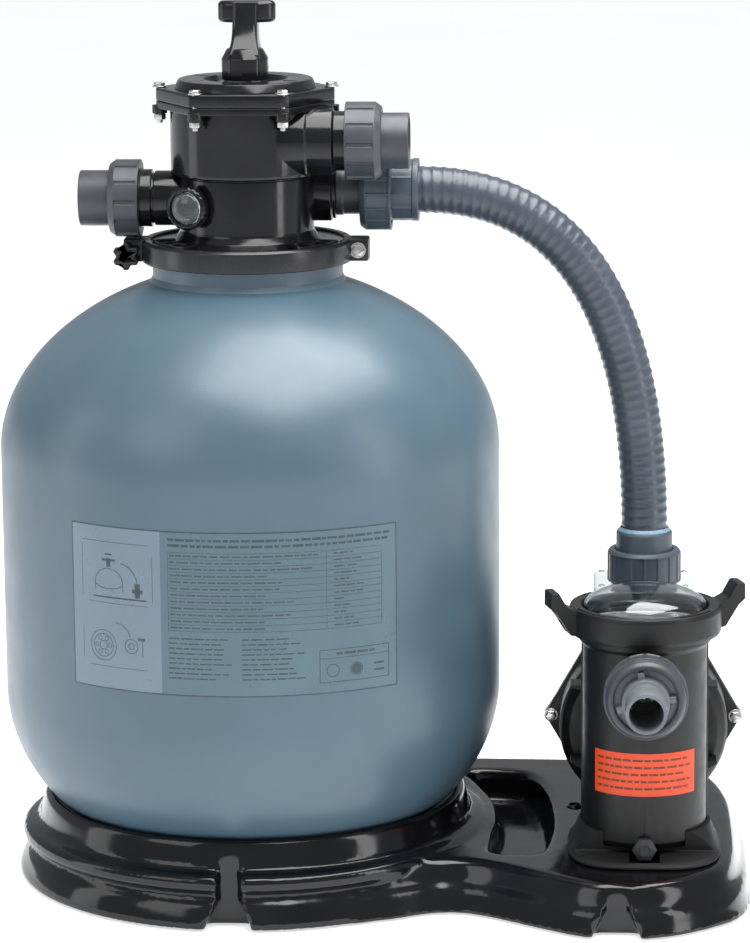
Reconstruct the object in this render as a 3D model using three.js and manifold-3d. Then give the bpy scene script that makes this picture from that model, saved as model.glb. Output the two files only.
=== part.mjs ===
// Pool filter unit: a sand filter tank with a multiport valve, a pump with a strainer pot, and a base tray.
// Millimetres, +Z up. The origin is on the floor under the tank. +X points to the pump; the front is -Y.
import * as THREE from "three";
import { mergeVertices } from "three/addons/utils/BufferGeometryUtils.js";
import Module from "manifold-3d";

const wasm = await Module();
wasm.setup();

// ---- Driving dimensions ----
const GAP = 0.3; // between pieces that touch
const PIPE = { bore: 22, socket: 25.5, hose: 25 }; // radii of the 50 mm pipework
const TANK = { r: 266.4, wall: 5, wallLow: 207, wallHigh: 468, bottom: 21.75, neckR: 101, neckLow: 640 };
const DOME = { rise: 191.5, power: 1.93 };
const BOWL = { across: 2.55, down: 1.94 };
const FLANGE = { r: 107, low: 668, split: 676.8, high: 686.2, clampR: 112 };
const VALVE = { lowR: 71, step: 757, highR: 80, hexLow: 827, hexHigh: 834.7, hexR: 97.4, boltR: 91 };
const PLATE = { low: 758, high: 768 }; // the valve's ported plate
const COVER = { low: 835, plate: 848.6, top: 858, recess: 852 };
const HANDLE = { pinZ: 869, hubLow: 857, hubHigh: 886, hubR: 25, barLow: 914, barHigh: 937 };
const WASTE = { z: 731, sleeve: 100, thread: 112, face: 134, end: 177 };
const RETURN = { y: -30, z: 795, collar: 94, face: 129, end: 174 };
const SUPPLY = { y: 32, z: 735.5, port: 93, face: 130, end: 181 };
const PUMP = { x: 422, potY: -100, axisZ: 150, outletY: 32 };
const POT = { r: 65.4, bore: 60, low: 58, mouth: 298 };
const VOLUTE = { r: 91, front: 5, back: 68 };
const OUTLET = { thread: 305, face: 331, collarTop: 366.5 };
const INLET = { z: 244, thread: 200, face: 222, end: 286 };
const MOTOR = { r: 68, front: 84.4, back: 250, cover: 280 };
const BASE = { ringR: 257, ringTop: 91, rimR: 227, seatR: 219.5, deck: 54, sheet: 4, wellR: 84 };
const ROUND = 24; // facets of a large turning
const MIDDLE = 20; // facets of a union
const SMALL = 16; // facets of a small turning

// ---- Geometry: everything below works on closed, indexed geometry that holds only positions ----
function bare(geometry) {
  const copy = new THREE.BufferGeometry();
  copy.setAttribute("position", geometry.getAttribute("position").clone());
  if (geometry.index) copy.setIndex(geometry.index.clone());
  return mergeVertices(copy, 1e-3);
}

function toSolid(geometry) {
  const source = bare(geometry);
  const corners = [];
  const index = source.index.array;
  for (let i = 0; i < index.length; i += 3) {
    const [a, b, c] = [index[i], index[i + 1], index[i + 2]];
    if (a !== b && b !== c && c !== a) corners.push(a, b, c);
  }
  const build = (triVerts) =>
    new wasm.Manifold(
      new wasm.Mesh({ numProp: 3, vertProperties: source.attributes.position.array, triVerts }),
    );
  const made = build(new Uint32Array(corners));
  if (made.volume() >= 0) return made;
  for (let i = 0; i < corners.length; i += 3)
    [corners[i + 1], corners[i + 2]] = [corners[i + 2], corners[i + 1]];
  return build(new Uint32Array(corners));
}

function fromSolid(made) {
  const mesh = made.getMesh();
  const positions = new Float32Array(mesh.numVert * 3);
  for (let i = 0; i < mesh.numVert; i++) {
    positions.set(mesh.vertProperties.subarray(i * mesh.numProp, i * mesh.numProp + 3), i * 3);
  }
  const geometry = new THREE.BufferGeometry();
  geometry.setAttribute("position", new THREE.BufferAttribute(positions, 3));
  geometry.setIndex(new THREE.BufferAttribute(new Uint32Array(mesh.triVerts), 1));
  return geometry;
}

const join = (...parts) => fromSolid(parts.map(toSolid).reduce((a, b) => a.add(b)));
const cut = (body, ...tools) =>
  fromSolid(tools.map(toSolid).reduce((a, b) => a.subtract(b), toSolid(body)));
const common = (a, b) => fromSolid(toSolid(a).intersect(toSolid(b)));

// A turning about Z from [radius, z] pairs. A profile that doesn't end on the axis closes on itself.
function turned(profile, facets = SMALL) {
  const points = profile.map(([r, z]) => new THREE.Vector2(r, z));
  const [first, last] = [points[0], points[points.length - 1]];
  if (first.x > 0 || last.x > 0) points.push(first.clone());
  return bare(new THREE.LatheGeometry(points, facets).rotateX(Math.PI / 2));
}

const rod = (r, low, high, facets) => turned([[0, low], [r, low], [r, high], [0, high]], facets);
const ring = (inner, outer, low, high, facets) =>
  turned([[inner, low], [outer, low], [outer, high], [inner, high]], facets);

function box(x0, x1, y0, y1, z0, z1) {
  const made = new THREE.BoxGeometry(x1 - x0, y1 - y0, z1 - z0);
  return bare(made.translate((x0 + x1) / 2, (y0 + y1) / 2, (z0 + z1) / 2));
}

function prism(points, low, high) {
  const shape = new THREE.Shape(points.map(([x, y]) => new THREE.Vector2(x, y)));
  const made = new THREE.ExtrudeGeometry(shape, { depth: high - low, bevelEnabled: false });
  return bare(made.translate(0, 0, low));
}

// A solid through stacked outlines that have the same number of points, [{points, z}] from the bottom up.
function lofted(levels) {
  const count = levels[0].points.length;
  const positions = levels.flatMap(({ points, z }) => points.flatMap(([x, y]) => [x, y, z]));
  const index = [];
  for (let k = 0; k + 1 < levels.length; k++) {
    for (let i = 0; i < count; i++) {
      const [a, b] = [k * count + i, k * count + ((i + 1) % count)];
      index.push(a, b, b + count, a, b + count, a + count);
    }
  }
  const cap = (points) =>
    THREE.ShapeUtils.triangulateShape(points.map(([x, y]) => new THREE.Vector2(x, y)), []);
  const top = (levels.length - 1) * count;
  cap(levels[0].points).forEach(([a, b, c]) => index.push(a, c, b));
  cap(levels[levels.length - 1].points).forEach(([a, b, c]) => index.push(top + a, top + b, top + c));
  const geometry = new THREE.BufferGeometry();
  geometry.setAttribute("position", new THREE.Float32BufferAttribute(positions, 3));
  return geometry.setIndex(index);
}

const moved = (geometry, x, y, z) => geometry.clone().translate(x, y, z);
const aboutZ = (geometry, angle) => geometry.clone().rotateZ(angle);
const toRight = (geometry) => geometry.clone().rotateY(Math.PI / 2); // +Z becomes +X
const toLeft = (geometry) => geometry.clone().rotateY(-Math.PI / 2); // +Z becomes -X
const toFront = (geometry) => geometry.clone().rotateX(Math.PI / 2); // +Z becomes -Y
const toBack = (geometry) => geometry.clone().rotateX(-Math.PI / 2); // +Z becomes +Y
const turns = (count, start = 0) =>
  Array.from({ length: count }, (_, i) => start + (i * 2 * Math.PI) / count);
const polar = (r, angle) => [r * Math.cos(angle), r * Math.sin(angle)];

function hexPrism(cornerR, low, high, start = 0) {
  return prism(turns(6, start).map((angle) => polar(cornerR, angle)), low, high);
}

// A closed smooth outline through a few points, anticlockwise.
function smoothOutline(points, count) {
  const curve = new THREE.CatmullRomCurve3(points.map(([x, y]) => new THREE.Vector3(x, y, 0)), true);
  return curve.getSpacedPoints(count).slice(0, count).map((p) => [p.x, p.y]);
}

// The outline moved inwards by a distance, each point along the mean of its edges' normals.
function inset(points, distance) {
  return points.map(([x, y], i) => {
    const before = points[(i + points.length - 1) % points.length];
    const after = points[(i + 1) % points.length];
    const along = new THREE.Vector2(after[0] - before[0], after[1] - before[1]).normalize();
    return [x - along.y * distance, y + along.x * distance];
  });
}

// ---- Looks ----
const finish = (color, roughness, metalness = 0, opacity = 1) =>
  new THREE.MeshStandardMaterial({ color, roughness, metalness, opacity, transparent: opacity < 1 });
const LOOK = {
  tank: () => finish(0x7f96a2, 0.5),
  base: () => finish(0x0d0e10, 0.15),
  valve: () => finish(0x121315, 0.28),
  nut: () => finish(0x33383d, 0.5),
  blueNut: () => finish(0x55666f, 0.45),
  hose: () => finish(0x555a63, 0.4),
  pump: () => finish(0x1c1d1f, 0.5),
  clear: () => finish(0xdfe6ea, 0.1, 0, 0.35),
  basket: () => finish(0xd8d4c4, 0.6),
  pale: () => finish(0xc9ccce, 0.5),
  steel: () => finish(0xb8bcc0, 0.3, 1),
  rubber: () => finish(0x101010, 0.8),
  pipe: () => finish(0xb9bfc4, 0.4),
  copper: () => finish(0x8a5a3c, 0.5, 0.6),
};

const unit = new THREE.Group();
unit.name = "sand_filter_unit";

function part(name, geometry, look, parent = unit) {
  const faces = geometry.toNonIndexed();
  faces.computeVertexNormals();
  const mesh = new THREE.Mesh(faces, look());
  mesh.name = name;
  parent.add(mesh);
  return mesh;
}

// A group whose own +Z points along a pipe.
function station(x, y, z, turn = [0, 0, 0]) {
  const group = new THREE.Group();
  group.position.set(x, y, z);
  group.rotation.set(...turn);
  unit.add(group);
  return group;
}
const LEFTWARD = [0, -Math.PI / 2, 0];
const RIGHTWARD = [0, Math.PI / 2, 0];
const FORWARD = [Math.PI / 2, 0, 0];

// ---- Tank ----
// The bowl and the dome, as [radius, z] from the bottom up, for a wall that lies `offset` inside the skin.
function bowl(offset, steps) {
  const depth = TANK.wallLow - TANK.bottom - offset;
  return Array.from({ length: steps + 1 }, (_, i) => {
    const t = (Math.PI / 2) * (1 - i / steps);
    const r = (TANK.r - offset) * Math.cos(t) ** (2 / BOWL.across);
    return [i === 0 ? 0 : r, TANK.wallLow - depth * Math.sin(t) ** (2 / BOWL.down)];
  });
}

function dome(offset, endR, steps) {
  const [r, rise] = [TANK.r - offset, DOME.rise - offset];
  const end = Math.acos((endR / r) ** (DOME.power / 2));
  return Array.from({ length: steps + 1 }, (_, i) => {
    const t = (end * i) / steps;
    return [r * Math.cos(t) ** (2 / DOME.power), TANK.wallHigh + rise * Math.sin(t) ** (2 / DOME.power)];
  });
}

function tankShell() {
  const flangeTop = FLANGE.split - GAP;
  const groove = [[103.4, flangeTop], [103.4, 672.2], [97.8, 672.2], [97.8, flangeTop]];
  const outside = [
    ...bowl(0, 7),
    ...dome(0, 111.7, 6),
    [104, 644],
    [TANK.neckR, 650],
    [TANK.neckR, FLANGE.low],
    [FLANGE.r, FLANGE.low],
    [FLANGE.r, flangeTop],
  ];
  const inside = [...bowl(TANK.wall, 5), ...dome(TANK.wall, TANK.neckR - TANK.wall, 5)];
  return turned([...outside, ...groove, [TANK.neckR - TANK.wall, flangeTop], ...inside.reverse()], ROUND);
}

const ARMS = 8;
const ARM = { r: 13, z: 84, reach: 165, hubR: 46 };

function lateralHub() {
  const hub = cut(rod(ARM.hubR, 60, 112), rod(PIPE.socket, 64, 113));
  const arm = toRight(rod(ARM.r, 36, ARM.reach, 12));
  return turns(ARMS).reduce((body, angle) => join(body, aboutZ(moved(arm, 0, 0, ARM.z), angle)), hub);
}

part("tank_shell", tankShell(), LOOK.tank);
part("lateral_hub", lateralHub(), LOOK.pale);
part("standpipe", ring(PIPE.bore, PIPE.hose, 64.5, 704, SMALL), LOOK.pipe);
part("flange_oring", ring(98.4, 102.8, 672.6, FLANGE.split - 0.1, ROUND), LOOK.rubber);

// ---- Base tray: one formed sheet, hollow below ----
const LOBE = [
  [0, -150], [96, -226], [150, -216], [207, -189], [250, -196], [320, -243], [357, -265],
  [396, -273], [445, -263], [492, -231], [524, -190], [537, -120], [540, -15], [536, 100],
  [518, 185], [488, 238], [430, 259], [330, 263], [120, 258], [0, 190], [-40, 20],
];
const LOBE_POINTS = 40;
const POCKET = [
  [262, -132], [300, -141], [317, -120], [325, -40], [323, 40], [315, 110], [301, 160],
  [280, 181], [226, 182], [236, 140], [256, 70], [262, 0], [258, -70],
];
const POCKET_FLOOR = 20;
const DECK_HOLES = [[348, 40], [484, 36]];

function ringTray() {
  const seatGap = GAP + 0.4;
  const wall = (offset, edge, top) => bowl(offset, 7).filter(([r, z]) => r > edge && z < top);
  const seat = wall(-seatGap, BASE.wellR + 8, BASE.ringTop - 6);
  const under = wall(-seatGap - BASE.sheet, BASE.wellR + 4, BASE.ringTop - 10);
  const inner = [[0, BASE.sheet], [BASE.wellR - 6, BASE.sheet], [BASE.wellR, 26], ...seat];
  const top = BASE.ringTop;
  const rim = [[BASE.seatR, top - 5], [BASE.seatR + 2, top], [BASE.rimR - 1, top], [BASE.rimR + 1, top - 3]];
  const outer = [[243, 34], [250, 26], [256, 10], [BASE.ringR, 8], [BASE.ringR, 0]];
  const back = [[252, 0], [251.5, 9], [245.5, 23], [239, 30], [BASE.rimR - 2.6, 82]];
  const foot = [[BASE.wellR - 5, 20], [BASE.wellR - 9, 0], [0, 0]];
  const below = [[BASE.seatR + 3, top - 11], ...under.reverse(), ...foot];
  return turned([...inner, ...rim, ...outer, ...back, ...below], ROUND);
}

function lobeTray() {
  const outline = smoothOutline(LOBE, LOBE_POINTS);
  const levels = (sheet, low) => [
    { points: inset(outline, sheet), z: low },
    { points: inset(outline, sheet), z: 9.5 - sheet / 2 },
    { points: inset(outline, 6 + sheet), z: 24 - sheet },
    { points: inset(outline, 14 + sheet), z: 33 - sheet },
    { points: inset(outline, 20 + sheet), z: BASE.deck - 5 - sheet },
    { points: inset(outline, 25 + sheet), z: BASE.deck - sheet },
  ];
  const pocket = smoothOutline(POCKET, 16);
  const well = lofted([
    { points: inset(pocket, 8 - BASE.sheet), z: POCKET_FLOOR - BASE.sheet },
    { points: inset(pocket, -BASE.sheet), z: BASE.deck },
  ]);
  const hollow = lofted([
    { points: inset(pocket, 8), z: POCKET_FLOOR },
    { points: inset(pocket, 0), z: BASE.deck + 1 },
  ]);
  const shell = cut(lofted(levels(0, 0)), lofted(levels(BASE.sheet, -1)));
  const holes = DECK_HOLES.map(([x, y]) => moved(rod(4, 0, 80, 12), x, y, 0));
  const bosses = DECK_HOLES.map(([x, y]) => moved(rod(8, BASE.deck - 3, BASE.deck + 3, 16), x, y, 0));
  return cut(join(shell, well, ...bosses), hollow, ...holes);
}

function baseTray() {
  const underRing = rod(BASE.ringR - 16, -1, 120, ROUND);
  return join(ringTray(), cut(lobeTray(), underRing));
}

part("base_tray", baseTray(), LOOK.base);

// ---- Multiport valve ----
// A union's port on the valve: collar, groove and thread, pointing along +Z.
const THREAD_R = 31.3;
const spigot = (profile) => turned([[0, 0], ...profile, [0, profile[profile.length - 1][1]]]);

function valvePorts() {
  const waste = spigot([
    [29, 0], [29, WASTE.sleeve - 3], [27, WASTE.sleeve - 3], [27, WASTE.sleeve],
    [30.5, WASTE.sleeve], [30.5, WASTE.thread], [THREAD_R, WASTE.thread + 1], [THREAD_R, WASTE.face],
  ]);
  const back = spigot([
    [40, 40], [38, 66], [36, 68], [36, RETURN.collar],
    [THREAD_R, RETURN.collar + 2], [THREAD_R, RETURN.face],
  ]);
  const supply = spigot([[33, 20], [33, SUPPLY.port]]);
  return [
    moved(toLeft(waste), 0, 0, WASTE.z),
    moved(toRight(back), 0, RETURN.y, RETURN.z),
    moved(toRight(supply), 0, SUPPLY.y, SUPPLY.z),
  ];
}

function valveBores() {
  return [
    moved(toLeft(rod(PIPE.bore, 34, 140)), 0, 0, WASTE.z),
    moved(toRight(rod(PIPE.bore, 34, 140)), 0, RETURN.y, RETURN.z),
    moved(toRight(rod(PIPE.bore, 34, 140)), 0, SUPPLY.y, SUPPLY.z),
  ];
}

// The hexagon's corners are cut short by a small facet.
function hexFlange(low, high, flat = 6.5) {
  const reach = VALVE.hexR * Math.cos(Math.PI / 6);
  const side = VALVE.hexR / 2 - flat;
  const points = turns(6, Math.PI / 6).flatMap((angle) =>
    [-side, side].map((along) => [
      reach * Math.cos(angle) - along * Math.sin(angle),
      reach * Math.sin(angle) + along * Math.cos(angle),
    ]),
  );
  return prism(points, low, high);
}

const CORNERS = turns(6);
const atCorners = (geometry) =>
  CORNERS.map((angle) => moved(geometry, ...polar(VALVE.boltR, angle), 0));
const SIGHT = {
  place: [-59.5, -67, 728], turn: -Math.PI / 9, bossR: 20, bezelR: 22.8, lensR: 17, depth: 11,
};

function valveBody() {
  const outside = turned([
    [0, 652], [94, 652], [94, FLANGE.split], [FLANGE.r, FLANGE.split], [FLANGE.r, FLANGE.high],
    [82, FLANGE.high + 1], [74, 691], [VALVE.lowR, 698], [VALVE.lowR, VALVE.step],
    [VALVE.highR, VALVE.step + 3], [VALVE.highR, VALVE.hexHigh], [0, VALVE.hexHigh],
  ], ROUND);
  const pillars = atCorners(rod(8, 821, VALVE.hexHigh, 12));
  const atSight = (geometry) => moved(toFront(geometry.clone().rotateY(SIGHT.turn)), ...SIGHT.place);
  const sightBoss = atSight(rod(SIGHT.bossR, -58, -SIGHT.depth - GAP));
  const sightBore = atSight(rod(13, -60, 0));
  const nutRoom = atCorners(rod(8.6, 790, 820.9, 12));
  const chamber = rod(72, PLATE.high, VALVE.hexHigh + 1, ROUND);
  const passage = ring(31, 64, 651, PLATE.low, ROUND);
  const mouth = ring(31, 88, 651, 682, ROUND);
  const socket = rod(PIPE.socket, 651, 705);
  const middle = rod(20, 700, PLATE.high + 1);
  const windows = turns(5, Math.PI / 5).map((angle) => aboutZ(box(36, 58, -13, 13, 700, 780), angle));
  const web = (angle) => aboutZ(box(24, 70, -2.5, 2.5, 690, PLATE.low + 1), angle);
  const webs = [Math.PI / 2, (7 * Math.PI) / 6, (11 * Math.PI) / 6].map(web);
  const holes = atCorners(rod(3.6, 800, 850, 12));
  const sleeve = ring(PIPE.socket, 31, 652, 706);
  const upper = cut(
    join(outside, hexFlange(VALVE.hexLow, VALVE.hexHigh), ...pillars, ...valvePorts(), sightBoss),
    chamber, passage, mouth, ...windows, ...nutRoom,
  );
  return cut(join(upper, sleeve, ...webs), socket, middle, ...valveBores(), sightBore, ...holes);
}

function valveCover() {
  const raised = turned([
    [0, COVER.plate - 4], [74.5, COVER.plate - 4], [74.5, 849.5], [70, COVER.top],
    [44, COVER.top], [42, COVER.recess], [0, COVER.recess],
  ], ROUND);
  const dish = turned([[0, COVER.low - 1], [66, COVER.low - 1], [66, 844], [58, 846], [0, 846]], ROUND);
  const stem = rod(8.7, 800, 900);
  const groove = ring(66.5, 71.5, COVER.low - 1, COVER.low + 2.5, ROUND);
  const holes = atCorners(rod(3.6, 800, 860, 12));
  return cut(join(hexFlange(COVER.low, COVER.plate), raised), dish, stem, groove, ...holes);
}

function coverBolt() {
  const head = hexPrism(6.2, COVER.plate + GAP, COVER.plate + 4);
  const nut = hexPrism(6.4, 813, 821 - GAP);
  return join(head, nut, rod(3.1, 813, COVER.plate + 2, 12));
}

part("valve_body", valveBody(), LOOK.valve);
part("valve_cover", valveCover(), LOOK.valve);
part("cover_oring", ring(66.9, 71.1, COVER.low + GAP, COVER.low + 2.2, ROUND), LOOK.rubber);
CORNERS.forEach((angle, i) => {
  const place = station(...polar(VALVE.boltR, angle), 0);
  part(`cover_bolt_${i + 1}`, coverBolt(), LOOK.steel, place);
});

function spiderGasket() {
  const spokes = turns(5).map((angle) => aboutZ(box(30, 65, -2.5, 2.5, 768.3, 770.3), angle));
  return join(ring(63, 70, 768.3, 770.3, ROUND), ring(26, 32, 768.3, 770.3), ...spokes);
}

function valveRotor() {
  const disc = turned([
    [0, 770.6], [69, 770.6], [69, 776], [40, 784], [12, 790], [8, 792], [8, 878], [0, 878],
  ], ROUND);
  const window = aboutZ(box(34, 60, -14, 14, 760, 790), (3 * Math.PI) / 2);
  const pinHole = moved(toRight(rod(3.35, -20, 20, 16)), 0, 0, HANDLE.pinZ);
  return cut(disc, window, pinHole);
}

class Helix extends THREE.Curve {
  constructor(radius, low, high, turnCount) {
    super();
    Object.assign(this, { radius, low, high, turnCount });
  }
  getPoint(t) {
    const angle = 2 * Math.PI * this.turnCount * t;
    return new THREE.Vector3(...polar(this.radius, angle), this.low + (this.high - this.low) * t);
  }
}

const circle = (r, sides) => new THREE.Shape(turns(sides).map((a) => new THREE.Vector2(...polar(r, a))));

function swept(curve, r, sides, steps) {
  return bare(new THREE.ExtrudeGeometry(circle(r, sides), { extrudePath: curve, steps }));
}

function valveHandle() {
  const hub = turned([
    [0, HANDLE.hubLow], [HANDLE.hubR, HANDLE.hubLow], [HANDLE.hubR, HANDLE.hubHigh - 4],
    [HANDLE.hubR - 4, HANDLE.hubHigh], [0, HANDLE.hubHigh],
  ]);
  // The neck's outline in Z and Y, stood upright: +Z becomes +X and the outline's own X becomes +Z.
  const top = HANDLE.barHigh - 0.4;
  const outline = [[884, -20], [884, 20], [899, 27], [932, 40], [top, 30], [top, 6], [905, -5], [893, -13]];
  const upright = prism(outline.map(([z, y]) => [-z, y]), -13.5, 13.5).rotateY(Math.PI / 2);
  const bar = box(-30.5, 30.5, 19, 42, HANDLE.barLow, HANDLE.barHigh);
  const slot = box(-8.8, 8.8, -14, 16, 850, 881.6);
  const pinBore = moved(toRight(rod(3.4, -30, 30, 16)), 0, 0, HANDLE.pinZ);
  return cut(join(hub, upright, bar), slot, pinBore);
}

part("spider_gasket", spiderGasket(), LOOK.rubber);
part("valve_rotor", valveRotor(), LOOK.valve);
part("rotor_spring", swept(new Helix(17, 794, 843, 4), 1.8, 5, 28), LOOK.steel);
part("stem_washer", ring(8.8, 23, COVER.recess + GAP, HANDLE.hubLow - 0.4, SMALL), LOOK.steel);
part("handle_pin", toRight(rod(3, -23, 23, 16)), LOOK.steel).position.z = HANDLE.pinZ;
part("valve_handle", valveHandle(), LOOK.valve);

function sightBezel() {
  return turned([
    [SIGHT.lensR + 0.4, -SIGHT.depth], [SIGHT.bezelR, -SIGHT.depth], [SIGHT.bezelR, -2],
    [SIGHT.bezelR - 2, 0], [SIGHT.lensR + 0.4, 0],
  ]);
}

function sightLens() {
  const crown = Array.from({ length: 5 }, (_, i) => {
    const t = (Math.PI / 2) * (i / 5);
    return [SIGHT.lensR * Math.cos(t), -3 + 8 * Math.sin(t)];
  });
  return turned([[0, -SIGHT.depth], [SIGHT.lensR, -SIGHT.depth], ...crown, [0, 5]]);
}

const sight = station(...SIGHT.place, [Math.PI / 2, SIGHT.turn, 0]);
part("sight_bezel", sightBezel(), LOOK.valve, sight);
part("sight_lens", sightLens(), LOOK.clear, sight);

// ---- Split clamp round the two flanges ----
const LUG = { left: -127, leftZ: 672, right: 118, rightZ: 677, halfGap: 1.5, depth: 14, top: 689 };

function clampHalf(side) {
  const band = turned([
    [103, 665.2], [FLANGE.clampR, 665.2], [FLANGE.clampR, 688.6], [103, 688.6],
    [103, FLANGE.high + 0.4], [107.5, FLANGE.high + 0.4],
    [107.5, FLANGE.low - 0.4], [103, FLANGE.low - 0.4],
  ], ROUND);
  const [near, far] = [LUG.halfGap * side, LUG.depth * side];
  const [y0, y1] = [Math.min(near, far), Math.max(near, far)];
  const eye = (x, z) => moved(toBack(rod(10, y0, y1)), x, 0, z);
  const lugs = [
    box(-130, -104, y0, y1, 667, LUG.top), eye(LUG.left, LUG.leftZ),
    box(104, 124, y0, y1, 667, LUG.top), eye(LUG.right, LUG.rightZ),
  ];
  const half = box(-200, 200, Math.min(near, 200 * side), Math.max(near, 200 * side), 600, 720);
  const core = rod(107.5, FLANGE.low - 0.4, 700, ROUND);
  const bolt = toFront(rod(4.4, -40, 40));
  const bolts = [moved(bolt, LUG.left, 0, LUG.leftZ), moved(bolt, LUG.right, 0, LUG.rightZ)];
  return cut(common(join(band, ...lugs), half), core, ...bolts);
}

function starKnob() {
  const points = turns(6, Math.PI / 6).flatMap((a) => [
    polar(14.5, a - 0.16), polar(14.5, a + 0.16), polar(10.2, a + Math.PI / 6),
  ]);
  return cut(join(prism(points, 3, 15), rod(9, 0, 4)), rod(4.4, -1, 12, 16));
}

function crossBolt(reach) {
  const head = hexPrism(7, -LUG.depth - GAP - 6, -LUG.depth - GAP);
  return join(head, rod(4, -LUG.depth - 2, reach, 16));
}

part("clamp_front", clampHalf(-1), LOOK.valve);
part("clamp_rear", clampHalf(1), LOOK.valve);
const leftLug = station(LUG.left, 0, LUG.leftZ, FORWARD);
part("clamp_stud", crossBolt(25), LOOK.steel, leftLug);
part("star_knob", moved(starKnob(), 0, 0, LUG.depth + GAP), LOOK.nut, leftLug);
const clampNut = hexPrism(7, LUG.depth + GAP, LUG.depth + GAP + 6);
part("clamp_bolt", join(crossBolt(20), clampNut), LOOK.steel, station(LUG.right, 0, LUG.rightZ, FORWARD));

// ---- Unions ----
// A ribbed nut along +Z with its lip at the far end.
function unionNut({ r, length, bore, lip, lipDepth, chamfer = 5, ribs = 10 }) {
  const half = Math.PI / ribs / 2;
  const outline = (reach) => turns(ribs).flatMap((a) => [
    polar(reach, a - half), polar(reach, a + half),
    polar(reach - 1.8, a + 1.5 * half), polar(reach - 1.8, a + 2.5 * half),
  ]);
  const body = lofted([
    { points: outline(r), z: 0 },
    { points: outline(r), z: length - chamfer },
    { points: outline(r - chamfer), z: length },
  ]);
  return cut(body, rod(bore, -1, length - lipDepth, MIDDLE), rod(lip, -1, length + 1, MIDDLE));
}

// A union's tail: a flange at z = 0 that the nut's lip catches, a barrel, and a socket in its far end.
function unionTail({ flangeR, flange, r, length, socket, bore = PIPE.bore }) {
  const outside = turned([
    [0, 0], [flangeR, 0], [flangeR, flange], [r, flange], [r, length], [0, length],
  ], MIDDLE);
  return cut(outside, rod(bore, -1, length + 1), rod(PIPE.socket, length - socket, length + 1, MIDDLE));
}

const waste = station(0, 0, WASTE.z, LEFTWARD);
const wasteNut = unionNut({ r: 41, length: 32.5, bore: 31.9, lip: 29.9, lipDepth: 4.5, chamfer: 8 });
part("waste_nut", moved(wasteNut, 0, 0, WASTE.thread + 0.4), LOOK.nut, waste);
const tail = (flange, { face, end }) =>
  unionTail({ flangeR: 31.4, flange, r: 29.4, length: end - face - 0.4, socket: 26 });
const wasteTail = tail(5.5, WASTE);
part("waste_tail", moved(wasteTail, 0, 0, WASTE.face + 0.4), LOOK.nut, waste);

const back = station(0, RETURN.y, RETURN.z, RIGHTWARD);
const returnNut = unionNut({ r: 41, length: 38, bore: 31.9, lip: 29.9, lipDepth: 8, chamfer: 8 });
part("return_nut", moved(returnNut, 0, 0, 107.5), LOOK.nut, back);
const returnTail = tail(7.5, RETURN);
part("return_tail", moved(returnTail, 0, 0, RETURN.face + 0.4), LOOK.nut, back);

function hosePortFitting() {
  const outside = turned([
    [0, 72], [21.7, 72], [21.7, SUPPLY.port + GAP], [26, SUPPLY.port + GAP], [26, 124.4],
    [34, 124.4], [34, SUPPLY.face - GAP], [0, SUPPLY.face - GAP],
  ]);
  return cut(outside, rod(18, 60, 140));
}

function hoseTopCollar() {
  const outside = turned([
    [0, SUPPLY.face], [35.9, SUPPLY.face], [35.9, 149], [32, 151],
    [32, 175], [33.2, 177], [33.2, SUPPLY.end], [0, SUPPLY.end],
  ], MIDDLE);
  return cut(outside, rod(PIPE.bore, 120, 200), rod(PIPE.socket, 140, 200, MIDDLE));
}

const supply = station(0, SUPPLY.y, SUPPLY.z, RIGHTWARD);
part("hose_port_fitting", hosePortFitting(), LOOK.valve, supply);
part("hose_top_collar", hoseTopCollar(), LOOK.valve, supply);
// This nut's lip faces the valve, so it is turned end for end.
const topNut = unionNut({ r: 43, length: 33, bore: 36.5, lip: 26.6, lipDepth: 5, chamfer: 7 });
part("hose_top_nut", moved(topNut.rotateX(Math.PI), 0, 0, 152), LOOK.blueNut, supply);

// The hose leaves the upper collar level and enters the lower one upright.
const HOSE = { start: 140.4, level: 184, upright: OUTLET.collarTop, end: 345.4, bend: 0.66 };

function hoseLine() {
  const at = (x, z) => new THREE.Vector3(x, PUMP.outletY, z);
  const [across, drop] = [PUMP.x - HOSE.level, SUPPLY.z - HOSE.upright];
  const line = new THREE.CurvePath();
  line.add(new THREE.LineCurve3(at(HOSE.start, SUPPLY.z), at(HOSE.level, SUPPLY.z)));
  line.add(new THREE.CubicBezierCurve3(
    at(HOSE.level, SUPPLY.z), at(HOSE.level + HOSE.bend * across, SUPPLY.z),
    at(PUMP.x, HOSE.upright + HOSE.bend * drop), at(PUMP.x, HOSE.upright),
  ));
  line.add(new THREE.LineCurve3(at(PUMP.x, HOSE.upright), at(PUMP.x, HOSE.end)));
  return line;
}

part("hose", swept(hoseLine(), PIPE.hose, 10, 20), LOOK.hose);

function hoseBottomCollar() {
  const low = OUTLET.face + 0.4;
  const outside = turned([
    [0, low], [34.1, low], [34.1, 339.4], [30.2, 339.4], [30.2, OUTLET.collarTop], [0, OUTLET.collarTop],
  ], MIDDLE);
  return cut(outside, rod(PIPE.bore, 300, 400), rod(PIPE.socket, 345, 400, MIDDLE));
}

const outlet = station(PUMP.x, PUMP.outletY, 0);
part("hose_bottom_collar", hoseBottomCollar(), LOOK.pump, outlet);
const outletNut = unionNut({ r: 39.6, length: 35, bore: 34.6, lip: 30.7, lipDepth: 6, chamfer: 3 });
part("pump_outlet_nut", moved(outletNut, 0, 0, 311), LOOK.blueNut, outlet);

// ---- Pump ----
const pump = station(PUMP.x, 0, 0);
const aroundPot = (geometry) => moved(geometry, 0, PUMP.potY, 0);
const alongShaft = (geometry) => moved(toBack(geometry), 0, 0, PUMP.axisZ);
const alongInlet = (geometry) => moved(toFront(geometry), 0, 0, INLET.z);
const DRAIN_Z = 69;
const FOOT_LOW = BASE.deck + 0.4;

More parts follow.
